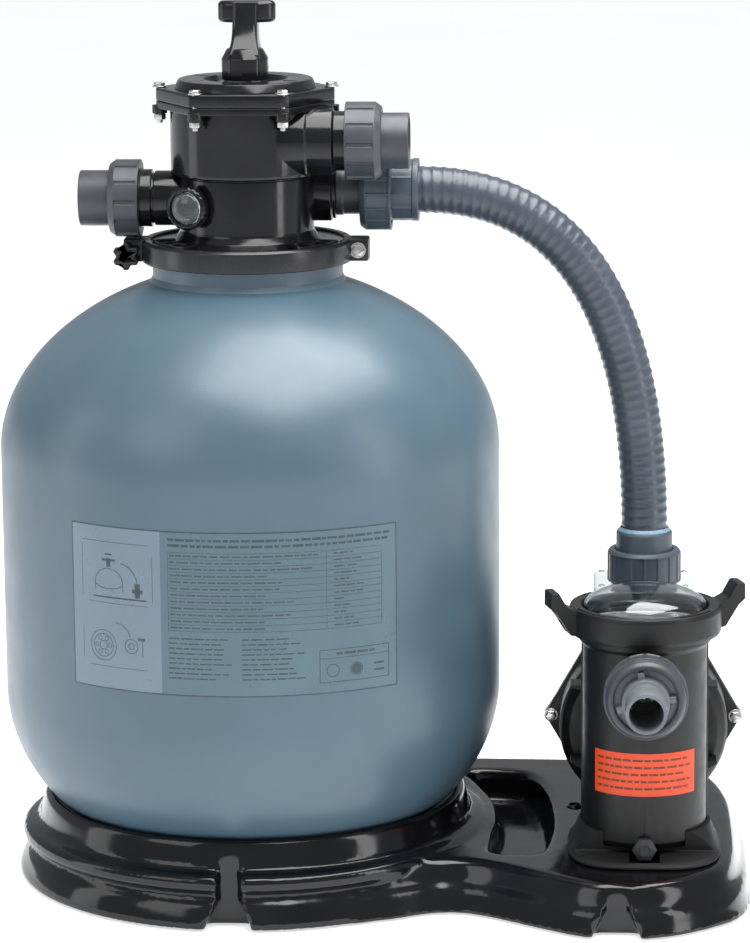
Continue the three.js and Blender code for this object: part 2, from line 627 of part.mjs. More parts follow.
function pumpHousing() {
  const pot = aroundPot(turned([
    [0, POT.low], [62, POT.low], [POT.r, 64], [POT.r, 276], [70, 280], [70, POT.mouth], [0, POT.mouth],
  ], ROUND));
  const neck = alongShaft(rod(46, -60, 20));
  const drum = alongShaft(turned([
    [0, VOLUTE.front], [80, VOLUTE.front], [VOLUTE.r, VOLUTE.front + 10],
    [VOLUTE.r, VOLUTE.back], [0, VOLUTE.back],
  ], ROUND));
  const gusset = (x) => box(x - 3, x + 3, -70, 12, 110, 200);
  const nozzle = (low, { thread, face }) =>
    turned([[0, low], [30, low], [30, thread], [34, thread], [34, face], [0, face]]);
  const rise = moved(nozzle(190, OUTLET), 0, PUMP.outletY, 0);
  const inlet = alongInlet(nozzle(150, INLET));
  const drain = moved(toFront(rod(11, 158, 169)), 0, 0, DRAIN_Z);
  const solid = join(pot, neck, drum, gusset(-50), gusset(50), rise, inlet, drain);
  return cut(
    solid,
    aroundPot(rod(POT.bore, 66, 400, ROUND)),
    aroundPot(ring(62.6, 67.4, 295.4, 300, ROUND)),
    alongShaft(rod(72, 20, 80, ROUND)),
    alongShaft(rod(24, -90, 30)),
    moved(rod(PIPE.bore, 205, 400), 0, PUMP.outletY, 0),
    alongInlet(rod(20, 130, 240)),
    moved(toFront(rod(7.5, 150, 180, 16)), 0, 0, DRAIN_Z),
  );
}

// Half width, half depth, shift in Y and squareness of the foot at one height.
function footOutline(wide, deep, shift, power) {
  const bulge = (part, reach) => Math.sign(part) * reach * Math.abs(part) ** (2 / power);
  return turns(ROUND).map((a) => [bulge(Math.cos(a), wide), shift + bulge(Math.sin(a), deep)]);
}

function pumpFoot() {
  const skirt = aroundPot(lofted([
    { points: footOutline(81, 98, -4, 3.2), z: FOOT_LOW },
    { points: footOutline(80, 97, -4, 3.2), z: 58 },
    { points: footOutline(70, 70, 0, 2), z: 82 },
  ]));
  const front = box(-90, 90, -260, -150, 61, 90);
  const saddle = box(-50, 50, -60, 60, FOOT_LOW, 74);
  const drainGap = box(-16, 16, -190, -150, 50, 90);
  return cut(
    join(skirt, saddle),
    aroundPot(rod(POT.r + 0.5, 57.6, 90, ROUND)),
    alongShaft(rod(VOLUTE.r + 0.5, -80, 80, ROUND)),
    front,
    drainGap,
  );
}

const BOLT_R = 101;

function sealPlate() {
  const plate = moved(toBack(hexPrism(108, VOLUTE.back + 0.4, 84)), 0, 0, PUMP.axisZ);
  const holes = [-BOLT_R, BOLT_R].map((x) => moved(toBack(rod(4.4, 60, 90, 16)), x, 0, PUMP.axisZ));
  return cut(plate, alongShaft(rod(12, 60, 90)), ...holes);
}

function motorHousing() {
  const shell = alongShaft(turned([
    [8.6, MOTOR.front], [MOTOR.r, MOTOR.front], [MOTOR.r, MOTOR.back], [MOTOR.r - 7, MOTOR.back],
    [MOTOR.r - 7, MOTOR.front + 9], [8.6, MOTOR.front + 9],
  ], ROUND));
  const foot = cut(box(-42, 42, 180, 215, FOOT_LOW, 110), alongShaft(rod(MOTOR.r - 4, 170, 230, ROUND)));
  return join(shell, foot);
}

function terminalBox() {
  return cut(box(-55, 55, 105, 195, 196, 285), alongShaft(rod(MOTOR.r + 0.4, 90, 210, ROUND)));
}

function fanCover() {
  const cup = alongShaft(turned([
    [0, MOTOR.cover - 3], [67, MOTOR.cover - 3], [67, MOTOR.back + GAP], [70, MOTOR.back + GAP],
    [70, MOTOR.cover - 5], [65, MOTOR.cover], [0, MOTOR.cover],
  ], ROUND));
  const slots = turns(10).map((a) => alongShaft(aboutZ(box(22, 54, -4, 4, 270, 290), a)));
  return cut(cup, ...slots);
}

function bladed(hubR, discR, disc, blades, count) {
  const hub = rod(hubR, Math.min(disc[0], blades[0]), Math.max(disc[1], blades[1]) + 3);
  const vane = box(hubR - 2, discR - 2, -1.6, 1.6, ...blades);
  const vanes = turns(count).map((a) => aboutZ(vane, a));
  return cut(join(hub, rod(discR, ...disc), ...vanes), rod(8.35, 0, 400));
}

part("pump_housing", pumpHousing(), LOOK.pump, pump);
part("pump_foot", pumpFoot(), LOOK.pump, pump);
part("seal_plate", sealPlate(), LOOK.pump, pump);
part("shaft_seal", alongShaft(ring(8.5, 11.6, 66, 82)), LOOK.rubber, pump);
part("impeller", alongShaft(bladed(14, 62, [54, 58], [34, 55], 5)), LOOK.pale, pump);
const shaft = turned([[0, 32], [8, 32], [8, 112], [34, 112], [34, 208], [8, 208], [8, 266], [0, 266]]);
part("motor_shaft", alongShaft(shaft), LOOK.steel, pump);
part("motor_stator", alongShaft(ring(35, 60.3, 114, 206, MIDDLE)), LOOK.copper, pump);
part("motor_housing", motorHousing(), LOOK.pump, pump);
part("terminal_box", terminalBox(), LOOK.pale, pump);
part("fan_cover", fanCover(), LOOK.pump, pump);
part("motor_fan", alongShaft(bladed(13, 56, [262, 264], [252, 263], 7)), LOOK.pale, pump);
for (const [side, x] of [["left", -BOLT_R], ["right", BOLT_R]]) {
  const bolt = join(rod(7, 58, VOLUTE.back), rod(4, 60, 94, 16), hexPrism(7, 84 + GAP, 90));
  part(`flange_bolt_${side}`, moved(toBack(bolt), x, 0, PUMP.axisZ), LOOK.steel, pump);
}

// ---- Strainer pot ----
function strainerBasket() {
  return turned([
    [0, 90], [52, 90], [56, 96], [57.5, 291], [59.4, 291],
    [59.4, 294], [55.5, 294], [54, 98], [50, 92], [0, 92],
  ], ROUND);
}

function pumpLid() {
  const steps = 6;
  const cap = (r, rise) => Array.from({ length: steps }, (_, i) => {
    const t = (Math.PI / 2) * (i / steps);
    return [r * Math.cos(t), 306 + rise * Math.sin(t)];
  });
  const skin = [[60, 298.4], [70, 298.4], [70, 305.6], [65.2, 305.9], ...cap(65, 31).slice(1), [0, 337]];
  const inside = [[0, 334], ...cap(61.5, 28).slice(1).reverse(), [60, 304]];
  return turned([...skin, ...inside], ROUND);
}

const HANDLE_TURN = (15.8 * Math.PI) / 180;

function lidRing() {
  const band = ring(66.3, 80, 286, 316, ROUND);
  const grips = [0, Math.PI].map((a) => aboutZ(box(76, 106, -14, 14, 306, 335), HANDLE_TURN + a));
  return cut(join(band, ...grips), rod(71, 280, 306.2, ROUND), rod(66.3, 280, 400, ROUND));
}

const pot = station(PUMP.x, PUMP.potY, 0);
part("strainer_basket", strainerBasket(), LOOK.basket, pot);
part("lid_oring", ring(63.1, 66.9, 295.8, 298.1, ROUND), LOOK.rubber, pot);
part("pump_lid", pumpLid(), LOOK.clear, pot);
part("lid_ring", lidRing(), LOOK.pump, pot);

// ---- Pump inlet union and drain ----
const inlet = station(PUMP.x, 0, INLET.z, FORWARD);
const inletNut = unionNut({ r: 43.5, length: 32, bore: 34.6, lip: 32, lipDepth: 7.5, chamfer: 4, ribs: 4 });
part("inlet_nut", moved(inletNut, 0, 0, 204), LOOK.blueNut, inlet);

function inletTail() {
  const low = INLET.face + 0.4;
  const outside = turned([
    [0, low], [34.1, low], [34.1, 228], [24.5, 228],
    [24.5, 245], [21, 246], [21, INLET.end], [0, INLET.end],
  ], MIDDLE);
  return cut(outside, rod(17.5, 200, 300));
}

part("inlet_tail", inletTail(), LOOK.pump, inlet);
const plug = join(hexPrism(13, 169 + GAP, 178), rod(7, 158, 172, 16));
part("drain_plug", plug, LOOK.pump, station(PUMP.x, 0, DRAIN_Z, FORWARD));

export default unit;
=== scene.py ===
"""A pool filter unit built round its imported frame: tank, multiport valve, hose, pump and base tray.

Sizes are millimetres until a mesh is made; every mesh is in metres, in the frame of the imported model.
"""
import math
import random

import bmesh
import bpy
from mathutils import Matrix, Vector


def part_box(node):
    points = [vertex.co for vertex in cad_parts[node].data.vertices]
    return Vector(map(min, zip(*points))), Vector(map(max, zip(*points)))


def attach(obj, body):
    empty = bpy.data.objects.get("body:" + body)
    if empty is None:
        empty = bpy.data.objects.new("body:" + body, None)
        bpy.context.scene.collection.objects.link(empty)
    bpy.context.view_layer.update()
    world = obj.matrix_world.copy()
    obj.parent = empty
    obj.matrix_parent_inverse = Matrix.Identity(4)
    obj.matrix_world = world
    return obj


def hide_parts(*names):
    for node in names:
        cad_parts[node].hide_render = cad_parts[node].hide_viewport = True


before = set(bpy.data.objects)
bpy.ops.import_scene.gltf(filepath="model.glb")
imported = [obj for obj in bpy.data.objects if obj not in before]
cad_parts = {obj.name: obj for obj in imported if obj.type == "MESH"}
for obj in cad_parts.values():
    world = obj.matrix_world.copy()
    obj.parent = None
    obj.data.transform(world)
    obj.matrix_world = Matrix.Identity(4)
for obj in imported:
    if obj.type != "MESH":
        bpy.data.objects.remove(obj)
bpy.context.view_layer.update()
MM = 0.001
TAU = 2 * math.pi
BODY = "filter"  # the body that stands still

# ---- The camera: a long lens, a little above the unit and to its right ----
CAMERA = {"place": (380.2, -4279.2, 1301.1), "yaw": -3.3, "pitch": 11.415, "roll": 0.467, "lens": 155.8}


def make_camera():
    yaw, pitch, roll = (math.radians(CAMERA[key]) for key in ("yaw", "pitch", "roll"))
    ahead = Vector((math.sin(yaw) * math.cos(pitch), math.cos(yaw) * math.cos(pitch), -math.sin(pitch)))
    side = Vector((math.cos(yaw), -math.sin(yaw), 0))
    down = ahead.cross(side)
    right = side * math.cos(roll) + down * math.sin(roll)
    up = side * math.sin(roll) - down * math.cos(roll)
    data = bpy.data.cameras.new("camera")
    data.lens = CAMERA["lens"]
    data.clip_end = 100
    camera = bpy.data.objects.new("camera", data)
    bpy.context.scene.collection.objects.link(camera)
    turn = Matrix((right, up, -ahead)).transposed().to_4x4()
    camera.matrix_world = Matrix.Translation(Vector(CAMERA["place"]) * MM) @ turn
    bpy.context.scene.camera = camera


make_camera()


# ---- Places, read from the frame ----
def low_high(node):
    return [Vector(corner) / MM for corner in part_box(node)]


def middle(node):
    low, high = low_high(node)
    return (low + high) / 2


RIGHT = Matrix.Rotation(math.pi / 2, 4, "Y")  # +Z becomes +X
LEFT = Matrix.Rotation(-math.pi / 2, 4, "Y")  # +Z becomes -X
FRONT = Matrix.Rotation(math.pi / 2, 4, "X")  # +Z becomes -Y
BACK = Matrix.Rotation(-math.pi / 2, 4, "X")  # +Z becomes +Y
UPRIGHT = Matrix.Identity(4)


def at(x, y, z, turn=UPRIGHT):
    return Matrix.Translation(Vector((x, y, z)) * MM) @ turn


TANK_R = low_high("tank_shell")[1].x
WASTE = middle("waste_tail")
RETURN = middle("return_tail")
SUPPLY = middle("hose_top_collar")
OUTLET = middle("hose_bottom_collar")
INLET = middle("inlet_tail")
POT = middle("pump_lid")
SHAFT = middle("motor_shaft")
DRAIN = middle("drain_plug")
STUD = middle("clamp_stud")
BOLT = middle("clamp_bolt")
PIN = middle("handle_pin")
COVER_LOW = low_high("valve_cover")[0].z
COVER_TOP = low_high("valve_cover")[1].z

TO_WASTE = at(0, WASTE.y, WASTE.z, LEFT)
TO_RETURN = at(0, RETURN.y, RETURN.z, RIGHT)
TO_SUPPLY = at(0, SUPPLY.y, SUPPLY.z, RIGHT)
TO_OUTLET = at(OUTLET.x, OUTLET.y, 0)
TO_POT = at(POT.x, POT.y, 0)
TO_SHAFT = at(SHAFT.x, 0, SHAFT.z, BACK)
TO_INLET = at(INLET.x, 0, INLET.z, FRONT)
TO_DRAIN = at(DRAIN.x, 0, DRAIN.z, FRONT)


# ---- Mesh tools ----
def new_object(name, points, faces):
    mesh = bpy.data.meshes.new(name)
    mesh.from_pydata([Vector(point) * MM for point in points], [], faces)
    work = bmesh.new()
    work.from_mesh(mesh)
    bmesh.ops.recalc_face_normals(work, faces=work.faces)
    work.to_mesh(mesh)
    work.free()
    obj = bpy.data.objects.new(name, mesh)
    bpy.context.scene.collection.objects.link(obj)
    return obj


def rounded(corners, radius, closed=False, steps=4):
    """A flat outline whose corners are turned into curves. A corner's third number is its own radius."""
    points = []
    for i, corner in enumerate(corners):
        here = Vector(corner[:2])
        own = corner[2] if len(corner) > 2 else radius
        if own == 0 or (not closed and i in (0, len(corners) - 1)):
            points.append(here)
            continue
        before = Vector(corners[i - 1][:2]) - here
        after = Vector(corners[(i + 1) % len(corners)][:2]) - here
        half = before.angle(after) / 2
        reach = min(own / math.tan(half), 0.48 * min(before.length, after.length))
        a, b = before.normalized() * reach, after.normalized() * reach
        points += [here + a * (1 - t) ** 2 + b * t**2 for t in (k / steps for k in range(steps + 1))]
    return points


def lathe(name, profile, sides=96, shape=None):
    """A closed turning about Z. shape(k, r, z) changes a radius on the k-th of its sides."""
    points, rings = [], []
    for r, z in profile:
        start = len(points)
        if r < 1e-6:
            rings.append([start] * sides)
            points.append((0, 0, z))
            continue
        rings.append(list(range(start, start + sides)))
        for k in range(sides):
            reach = shape(k, r, z) if shape else r
            points.append((reach * math.cos(TAU * k / sides), reach * math.sin(TAU * k / sides), z))
    pairs = list(zip(rings, rings[1:]))
    if profile[0][0] > 1e-6:
        pairs.append((rings[-1], rings[0]))
    faces = []
    for low, high in pairs:
        for k in range(sides):
            n = (k + 1) % sides
            face = list(dict.fromkeys([low[k], low[n], high[n], high[k]]))
            if len(face) > 2:
                faces.append(face)
    return new_object(name, points, faces)


def turned(name, corners, radius, sides=96, shape=None):
    """A turning with rounded corners: solid when its profile starts on the axis, else a closed ring."""
    return lathe(name, rounded(corners, radius, closed=corners[0][0] > 0), sides, shape)


def loft(name, levels):
    """A closed skin through stacked closed outlines of 3-D points."""
    count = len(levels[0])
    points = [point for level in levels for point in level]
    faces = []
    for k in range(0, len(points) - count, count):
        for i in range(count):
            n = (i + 1) % count
            faces.append([k + i, k + n, k + count + n, k + count + i])
    faces.append(list(reversed(range(count))))
    faces.append(list(range(len(points) - count, len(points))))
    return new_object(name, points, faces)


def inset(outline, distance):
    """An anticlockwise outline moved inwards along the mean normal of each point's edges."""
    moved = []
    for i, (x, y) in enumerate(outline):
        before, after = outline[i - 1], outline[(i + 1) % len(outline)]
        along = Vector((after[0] - before[0], after[1] - before[1])).normalized()
        moved.append((x - along.y * distance, y + along.x * distance))
    return moved


def slab(name, outline, low, high, edge=1.0, steps=3):
    """A plate with the outline in XY and its two rims rounded."""
    bends = [math.pi / 2 * k / steps for k in range(steps + 1)]
    rims = [(edge * (1 - math.sin(t)), edge * (1 - math.cos(t))) for t in bends]
    stack = [(d, low + h) for d, h in rims] + [(d, high - h) for d, h in reversed(rims)]
    return loft(name, [[(x, y, z) for x, y in inset(outline, d)] for d, z in stack])


def rectangle(x0, x1, y0, y1, radius):
    return rounded([(x0, y0), (x1, y0), (x1, y1), (x0, y1)], radius, closed=True)


def block(name, x0, x1, y0, y1, z0, z1, radius=1.5, edge=1.0):
    return slab(name, rectangle(x0, x1, y0, y1, radius), z0, z1, edge)


def rod(name, r, low, high, sides=64, edge=0.5):
    return lathe(name, rounded([(0, low), (r, low), (r, high), (0, high)], edge), sides)


def hexagon(corner_r, radius=0.6, turn=0.0):
    return rounded([polar(corner_r, angle) for angle in around(6, turn)], radius, closed=True)


def put(obj, matrix):
    obj.data.transform(matrix)
    return obj


def bake(obj):
    """Applies the object's modifiers to its mesh."""
    bpy.context.view_layer.update()
    graph = bpy.context.evaluated_depsgraph_get()
    mesh = bpy.data.meshes.new_from_object(obj.evaluated_get(graph))
    obj.modifiers.clear()
    obj.data = mesh
    return obj


def boolean(obj, kind, tools):
    for tool in tools:
        step = obj.modifiers.new(kind, "BOOLEAN")
        step.operation = kind
        step.solver = "MANIFOLD"
        step.object = tool
    bake(obj)
    for tool in tools:
        bpy.data.objects.remove(tool, do_unlink=True)
    return obj


def join(obj, *tools):
    return boolean(obj, "UNION", tools)


def cut(obj, *tools):
    return boolean(obj, "DIFFERENCE", tools)


def merged(name, parts):
    """One object from several separate closed pieces."""
    work = bmesh.new()
    for item in parts:
        work.from_mesh(item.data)
        bpy.data.objects.remove(item, do_unlink=True)
    mesh = bpy.data.meshes.new(name)
    work.to_mesh(mesh)
    work.free()
    obj = bpy.data.objects.new(name, mesh)
    bpy.context.scene.collection.objects.link(obj)
    return obj


def around(count, start=0.0):
    return [start + TAU * k / count for k in range(count)]


def polar(r, angle):
    return r * math.cos(angle), r * math.sin(angle)


def settle(obj, look, slot, *nodes, body=BODY, sharp=32):
    """Shades a finished piece, gives it its material and its body, and hides the CAD nodes that it stands
    for.
    """
    obj.data.shade_smooth()
    obj.data.set_sharp_from_angle(angle=math.radians(sharp))
    obj.data.materials.clear()
    obj.data.materials.append(LOOK[look])
    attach(obj, body)
    if nodes:
        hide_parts(*nodes)
    return obj


# ---- Materials: LOOK holds each one, by the name that settle() is given ----
GRAIN_DEPTH = 0.0004  # metres
DENT_DEPTH = 0.004


def linear(colour):
    """Linear values of an sRGB colour given in 0 to 255."""
    parts = [c / 255 for c in colour]
    return [c / 12.92 if c <= 0.04045 else ((c + 0.055) / 1.055) ** 2.4 for c in parts] + [1]


def set_sockets(node, values):
    for socket, value in values.items():
        node.inputs[socket.replace("_", " ")].default_value = value


def added(nodes, kind, **values):
    node = nodes.new("ShaderNode" + kind)
    set_sockets(node, values)
    return node


def noise(nodes, links, scale, detail=3):
    place = nodes.new("ShaderNodeTexCoord")
    texture = added(nodes, "TexNoise", Scale=scale, Detail=detail)
    links.new(place.outputs["Object"], texture.inputs["Vector"])
    return texture.outputs["Fac"]


def ramp(nodes, links, value, low, high, dark, light):
    """Colours between dark and light as value goes from low to high."""
    band = nodes.new("ShaderNodeValToRGB")
    band.color_ramp.elements[0].position = low
    band.color_ramp.elements[1].position = high
    band.color_ramp.elements[0].color = dark
    band.color_ramp.elements[1].color = light
    links.new(value, band.inputs["Fac"])
    return band.outputs["Color"]


def surface(name, dark, light, rough, patch=18, grain=900, depth=0.15, dents=0.0, **fixed):
    """Patchy colour between two shades, roughness that varies, and a fine grain with shallow dents."""
    material = bpy.data.materials.new(name)
    material.use_nodes = True
    nodes, links = material.node_tree.nodes, material.node_tree.links
    shader = nodes["Principled BSDF"]
    set_sockets(shader, fixed)
    patches = noise(nodes, links, patch, 5)
    colour = ramp(nodes, links, patches, 0.35, 0.7, linear(dark), linear(light))
    links.new(colour, shader.inputs["Base Color"])
    spread = added(nodes, "MapRange", From_Min=0.3, From_Max=0.7, To_Min=rough[0], To_Max=rough[1])
    links.new(noise(nodes, links, patch * 3, 4), spread.inputs["Value"])
    links.new(spread.outputs["Result"], shader.inputs["Roughness"])
    bump = added(nodes, "Bump", Strength=depth, Distance=GRAIN_DEPTH)
    links.new(noise(nodes, links, grain, 3), bump.inputs["Height"])
    links.new(bump.outputs["Normal"], shader.inputs["Normal"])
    if dents:
        wave = added(nodes, "Bump", Strength=dents, Distance=DENT_DEPTH)
        links.new(noise(nodes, links, 14, 2), wave.inputs["Height"])
        links.new(wave.outputs["Normal"], bump.inputs["Normal"])
    return material


DULL = {"Specular_IOR_Level": 0.34}  # moulded plastics that mirror less than a polished one
LOOK = {
    "tank": surface("tank_laminate", (66, 88, 101), (71, 93, 106), (0.3, 0.38), 9, 700, 0.28, 0.04),
    "base": surface(
        "formed_gloss_black", (9, 9, 11), (19, 19, 22), (0.07, 0.17), 14, 160, 0.05, 0.16,
        Specular_IOR_Level=0.4
    ),
    "valve": surface(
        "moulded_gloss_black", (15, 15, 17), (24, 24, 27), (0.1, 0.2), 22, 500, 0.05, 0.03, **DULL
    ),
    "clamp": surface(
        "clamp_black", (20, 20, 22), (30, 30, 33), (0.2, 0.32), 22, 600, 0.1, 0.02, Specular_IOR_Level=0.4
    ),
    "nut": surface("union_dark_grey", (50, 52, 57), (60, 62, 68), (0.36, 0.46), 30, 800, 0.12),
    "blue": surface("union_blue_grey", (56, 66, 75), (66, 76, 86), (0.36, 0.48), 30, 800, 0.12),
    "hose": surface("hose_vinyl", (56, 63, 73), (68, 75, 85), (0.26, 0.38), 26, 600, 0.15),
    "pump": surface("pump_satin_black", (17, 17, 18), (24, 24, 25), (0.36, 0.48), 26, 1100, 0.24, **DULL),
    "foot": surface(
        "foot_matt_black", (15, 15, 16), (22, 22, 23), (0.5, 0.65), 26, 900, 0.3, Specular_IOR_Level=0.3
    ),
    "pipe": surface("pipe_grey", (88, 92, 97), (102, 106, 111), (0.36, 0.48), 30, 700, 0.12),
    "basket": surface("basket_white", (196, 196, 192), (216, 216, 211), (0.4, 0.55), 40, 700, 0.1),
    "pale": surface("pale_plastic", (176, 180, 182), (192, 196, 198), (0.42, 0.55), 30, 900, 0.2),
    "steel": surface(
        "zinc_steel", (165, 165, 162), (205, 204, 200), (0.22, 0.4), 60, 1500, 0.2, Metallic=1.0
    ),
    "rubber": surface("rubber", (14, 14, 14), (22, 22, 22), (0.65, 0.85), 40, 900, 0.3),
    "copper": surface("winding", (120, 70, 44), (168, 104, 66), (0.35, 0.5), 60, 700, 0.3, Metallic=0.8),
    "orange": surface("orange_film", (206, 62, 14), (218, 72, 22), (0.42, 0.52), 30, 700, 0.06),
    "ink": surface("label_ink", (40, 52, 60), (58, 70, 78), (0.5, 0.62), 90, 900, 0.05),
    "dark_ink": surface("sticker_ink", (96, 34, 16), (120, 44, 20), (0.5, 0.6), 90, 900, 0.05),
    "film": surface("label_film", (68, 92, 103), (74, 98, 109), (0.26, 0.34), 12, 700, 0.12, 0.03),
    "panel": surface("label_panel", (96, 113, 126), (102, 119, 132), (0.26, 0.34), 12, 700, 0.12, 0.03),
    "cement": surface("solvent_trace", (96, 128, 146), (124, 152, 168), (0.3, 0.5), 200, 900, 0.2),
    # a flat dark grey that stands in for the shade inside hollows: painted shade
    "painted_shade": surface("dull_painted_shade", (30, 30, 32), (40, 40, 42), (0.6, 0.75), 30, 900, 0.2),
    "clear": surface(
        "clear_dome", (226, 232, 234), (238, 242, 243), (0.02, 0.05), 20, 90, 0.04,
        Transmission_Weight=1.0, IOR=1.46,
    ),
}

# ---- The hose: the only cord, level out of the valve's collar and upright into the pump's ----
HOSE = {"start": 140.4, "level": 184, "upright": 366.5, "end": 345.4, "bend": 0.66}
HOSE_R = 25
HOSE_PITCH = 10.5  # of the moulded spiral
HOSE_RIDGE = 0.9
HOSE_SIDES = 48
RING_STEP = 1.5


def hose_line():
    """Points along the hose's centreline, a ring's step apart."""
    across, drop = OUTLET.x - HOSE["level"], SUPPLY.z - HOSE["upright"]
    a = Vector((HOSE["level"], SUPPLY.z))
    b = Vector((HOSE["level"] + HOSE["bend"] * across, SUPPLY.z))
    c = Vector((OUTLET.x, HOSE["upright"] + HOSE["bend"] * drop))
    d = Vector((OUTLET.x, HOSE["upright"]))
    route = [Vector((HOSE["start"], SUPPLY.z))]
    for k in range(401):
        t = k / 400
        route.append(a * (1 - t) ** 3 + b * 3 * t * (1 - t) ** 2 + c * 3 * t * t * (1 - t) + d * t**3)
    route.append(Vector((OUTLET.x, HOSE["end"])))
    spans = [(q - p).length for p, q in zip(route, route[1:])]
    total = sum(spans)
    count = round(total / RING_STEP)
    line, i, passed = [], 0, 0.0
    for k in range(count + 1):
        want = total * k / count
        while i < len(spans) - 1 and passed + spans[i] < want:
            passed += spans[i]
            i += 1
        line.append(route[i].lerp(route[i + 1], min(1, (want - passed) / spans[i])))
    return [Vector((p.x, SUPPLY.y, p.y)) for p in line], total


def make_hose():
    line, total = hose_line()
    levels = []
    for k, point in enumerate(line):
        along = (line[min(k + 1, len(line) - 1)] - line[max(k - 1, 0)]).normalized()
        side = Vector((0, 1, 0))
        other = along.cross(side)
        travelled = total * k / (len(line) - 1) / HOSE_PITCH
        ring = []
        for j in range(HOSE_SIDES):
            turn = TAU * j / HOSE_SIDES
            wave = 0.5 + 0.5 * math.cos(TAU * travelled - turn)
            reach = HOSE_R - HOSE_RIDGE * (1 - wave**2)
            ring.append(point + (side * math.cos(turn) + other * math.sin(turn)) * reach)
        levels.append(ring)
    hose = loft("ribbed_hose", levels)
    settle(hose, "hose", "hose_grey", "hose", sharp=60)


make_hose()

# ---- Tank ----
BOWL = {"bottom": 21.75, "top": 207, "across": 2.55, "down": 1.94}
DOME = {"low": 468, "rise": 191.5, "power": 1.93, "end": 111.7}
WALL = 5


def bowl_curve(offset=0.0, steps=44):
    """The tank's bottom as radius and height, from the axis to the wall, `offset` inside the skin."""
    depth = BOWL["top"] - BOWL["bottom"] - offset
    curve = []
    for k in range(steps + 1):
        t = math.pi / 2 * (1 - k / steps)
        r = (TANK_R - offset) * max(0, math.cos(t)) ** (2 / BOWL["across"])
        curve.append(Vector((0 if k == 0 else r, BOWL["top"] - depth * math.sin(t) ** (2 / BOWL["down"]))))
    return curve


def dome_curve(offset=0.0, steps=52):
    r, rise = TANK_R - offset, DOME["rise"] - offset
    end = math.acos(((DOME["end"] - 2 * offset) / r) ** (DOME["power"] / 2))
    curve = []
    for k in range(steps + 1):
        t = end * k / steps
        reach = r * math.cos(t) ** (2 / DOME["power"])
        curve.append(Vector((reach, DOME["low"] + rise * math.sin(t) ** (2 / DOME["power"]))))
    return curve


def make_tank():
    neck = [(104, 644), (101, 650), (101, 668), (107, 668), (107, 676.5), (96, 676.5), (96, 650)]
    profile = bowl_curve() + dome_curve() + rounded(neck, 1.2)
    profile += list(reversed(bowl_curve(WALL) + dome_curve(WALL)))
    profile[-1] = Vector((0, BOWL["bottom"] + WALL))
    settle(lathe("tank", profile, 192), "tank", "tank_grey", "tank_shell")


make_tank()


# ---- Labels: thin closed strips that lie on a round wall ----
def strips(name, lines, radius, centre, thickness=0.15):
    """Closed strips on an upright cylinder. A line is (points, width); a point is (way round, height)."""
    points, faces, outer = [], [], radius + thickness
    for line, width in lines:
        start = len(points)
        for i, here in enumerate(line):
            along = Vector(line[min(i + 1, len(line) - 1)]) - Vector(line[max(i - 1, 0)])
            across = Vector((-along.y, along.x)).normalized() * width / 2
            for edge, reach in ((-1, radius), (1, radius), (1, outer), (-1, outer)):
                u, z = Vector(here) + across * edge
                angle = u / radius - math.pi / 2
                points.append((centre.x + reach * math.cos(angle), centre.y + reach * math.sin(angle), z))
        for i in range(len(line) - 1):
            a, b = start + 4 * i, start + 4 * (i + 1)
            faces += [[a + k, a + (k + 1) % 4, b + (k + 1) % 4, b + k] for k in range(4)]
        last = start + 4 * (len(line) - 1)
        faces += [[start + 3, start + 2, start + 1, start], [last, last + 1, last + 2, last + 3]]
    return new_object(name, points, faces)


def level(u0, u1, z, width):
    """A level stroke, split finely enough to follow the wall."""
    count = max(2, math.ceil(abs(u1 - u0) / 5) + 1)
    return [(u0 + (u1 - u0) * k / (count - 1), z) for k in range(count)], width


def upright(u, z0, z1, width):
    return [(u, z0), (u, z1)], width


def frame_lines(u0, u1, z0, z1, width):
    rims = [level(u0, u1, z0, width), level(u0, u1, z1, width)]
    return rims + [upright(u0, z0, z1, width), upright(u1, z0, z1, width)]


def loop(u, z, r, width, start=0.0, end=TAU, flat=1.0):
    count = max(6, round(r * (end - start) / 1.2))
    steps = (start + (end - start) * k / count for k in range(count + 1))
    return [(u + r * math.cos(t), z + r * flat * math.sin(t)) for t in steps], width


def word_bars(draw, u0, u1, z, height):
    """A row of short bars that stands in for a printed line."""
    bars, u = [], u0
    while u < u1 - 3:
        width = min(draw.uniform(4, 13), u1 - u)
        bars.append(level(u, u + width, z, height))
        u += width + draw.uniform(1.3, 2.2)
    return bars


LABEL = {"half": 179.5, "low": 255, "high": 425, "split": -72}


def label_drawings():
    """The unit drawn small from the front and from above, with plain dimension lines."""
    u, low, high = -128, 341, 417
    front = [
        loop(u - 4, 366, 17, 0.8, 0, math.pi, 0.9), loop(u - 4, 366, 17, 0.8, math.pi, TAU, 0.35),
        upright(u - 21, 358, 367, 0.8), upright(u + 13, 358, 367, 0.8), level(u - 24, u + 40, 351, 1.6),
        upright(u - 4, 383, 392, 5), level(u - 12, u + 4, 390, 2.4), level(u - 8, u, 396, 1.6),
        loop(u + 8, 366, 22, 0.9, 0.1, 1.45), upright(u + 30, 353, 368, 6), level(u + 24, u + 36, 360, 4),
    ]
    marks = [
        upright(u - 38, low + 8, high - 12, 0.5), level(u - 38, u + 44, high - 8, 0.5),
        upright(u + 47, low + 8, high - 20, 0.5), level(u - 30, u + 42, low + 4, 0.5),
    ]
    v = 300
    plan = [loop(u - 12, v, r, 0.7) for r in (16, 12, 4.5)]
    plan += [loop(u - 12 + 8 * math.cos(a), v + 8 * math.sin(a), 2.2, 0.6) for a in around(6)]
    plan += [
        loop(u + 22, v + 2, 7.5, 0.8), loop(u + 22, v + 2, 3.2, 0.8), level(u + 30, u + 38, v + 10, 3),
        upright(u + 35, v - 8, v + 8, 0.7), level(u - 30, u + 40, v - 22, 0.5),
        upright(u - 38, v - 16, v + 18, 0.5),
        loop(u + 4, v + 8, 17, 0.7, 0.2, 1.6),
    ]
    return front + marks + plan


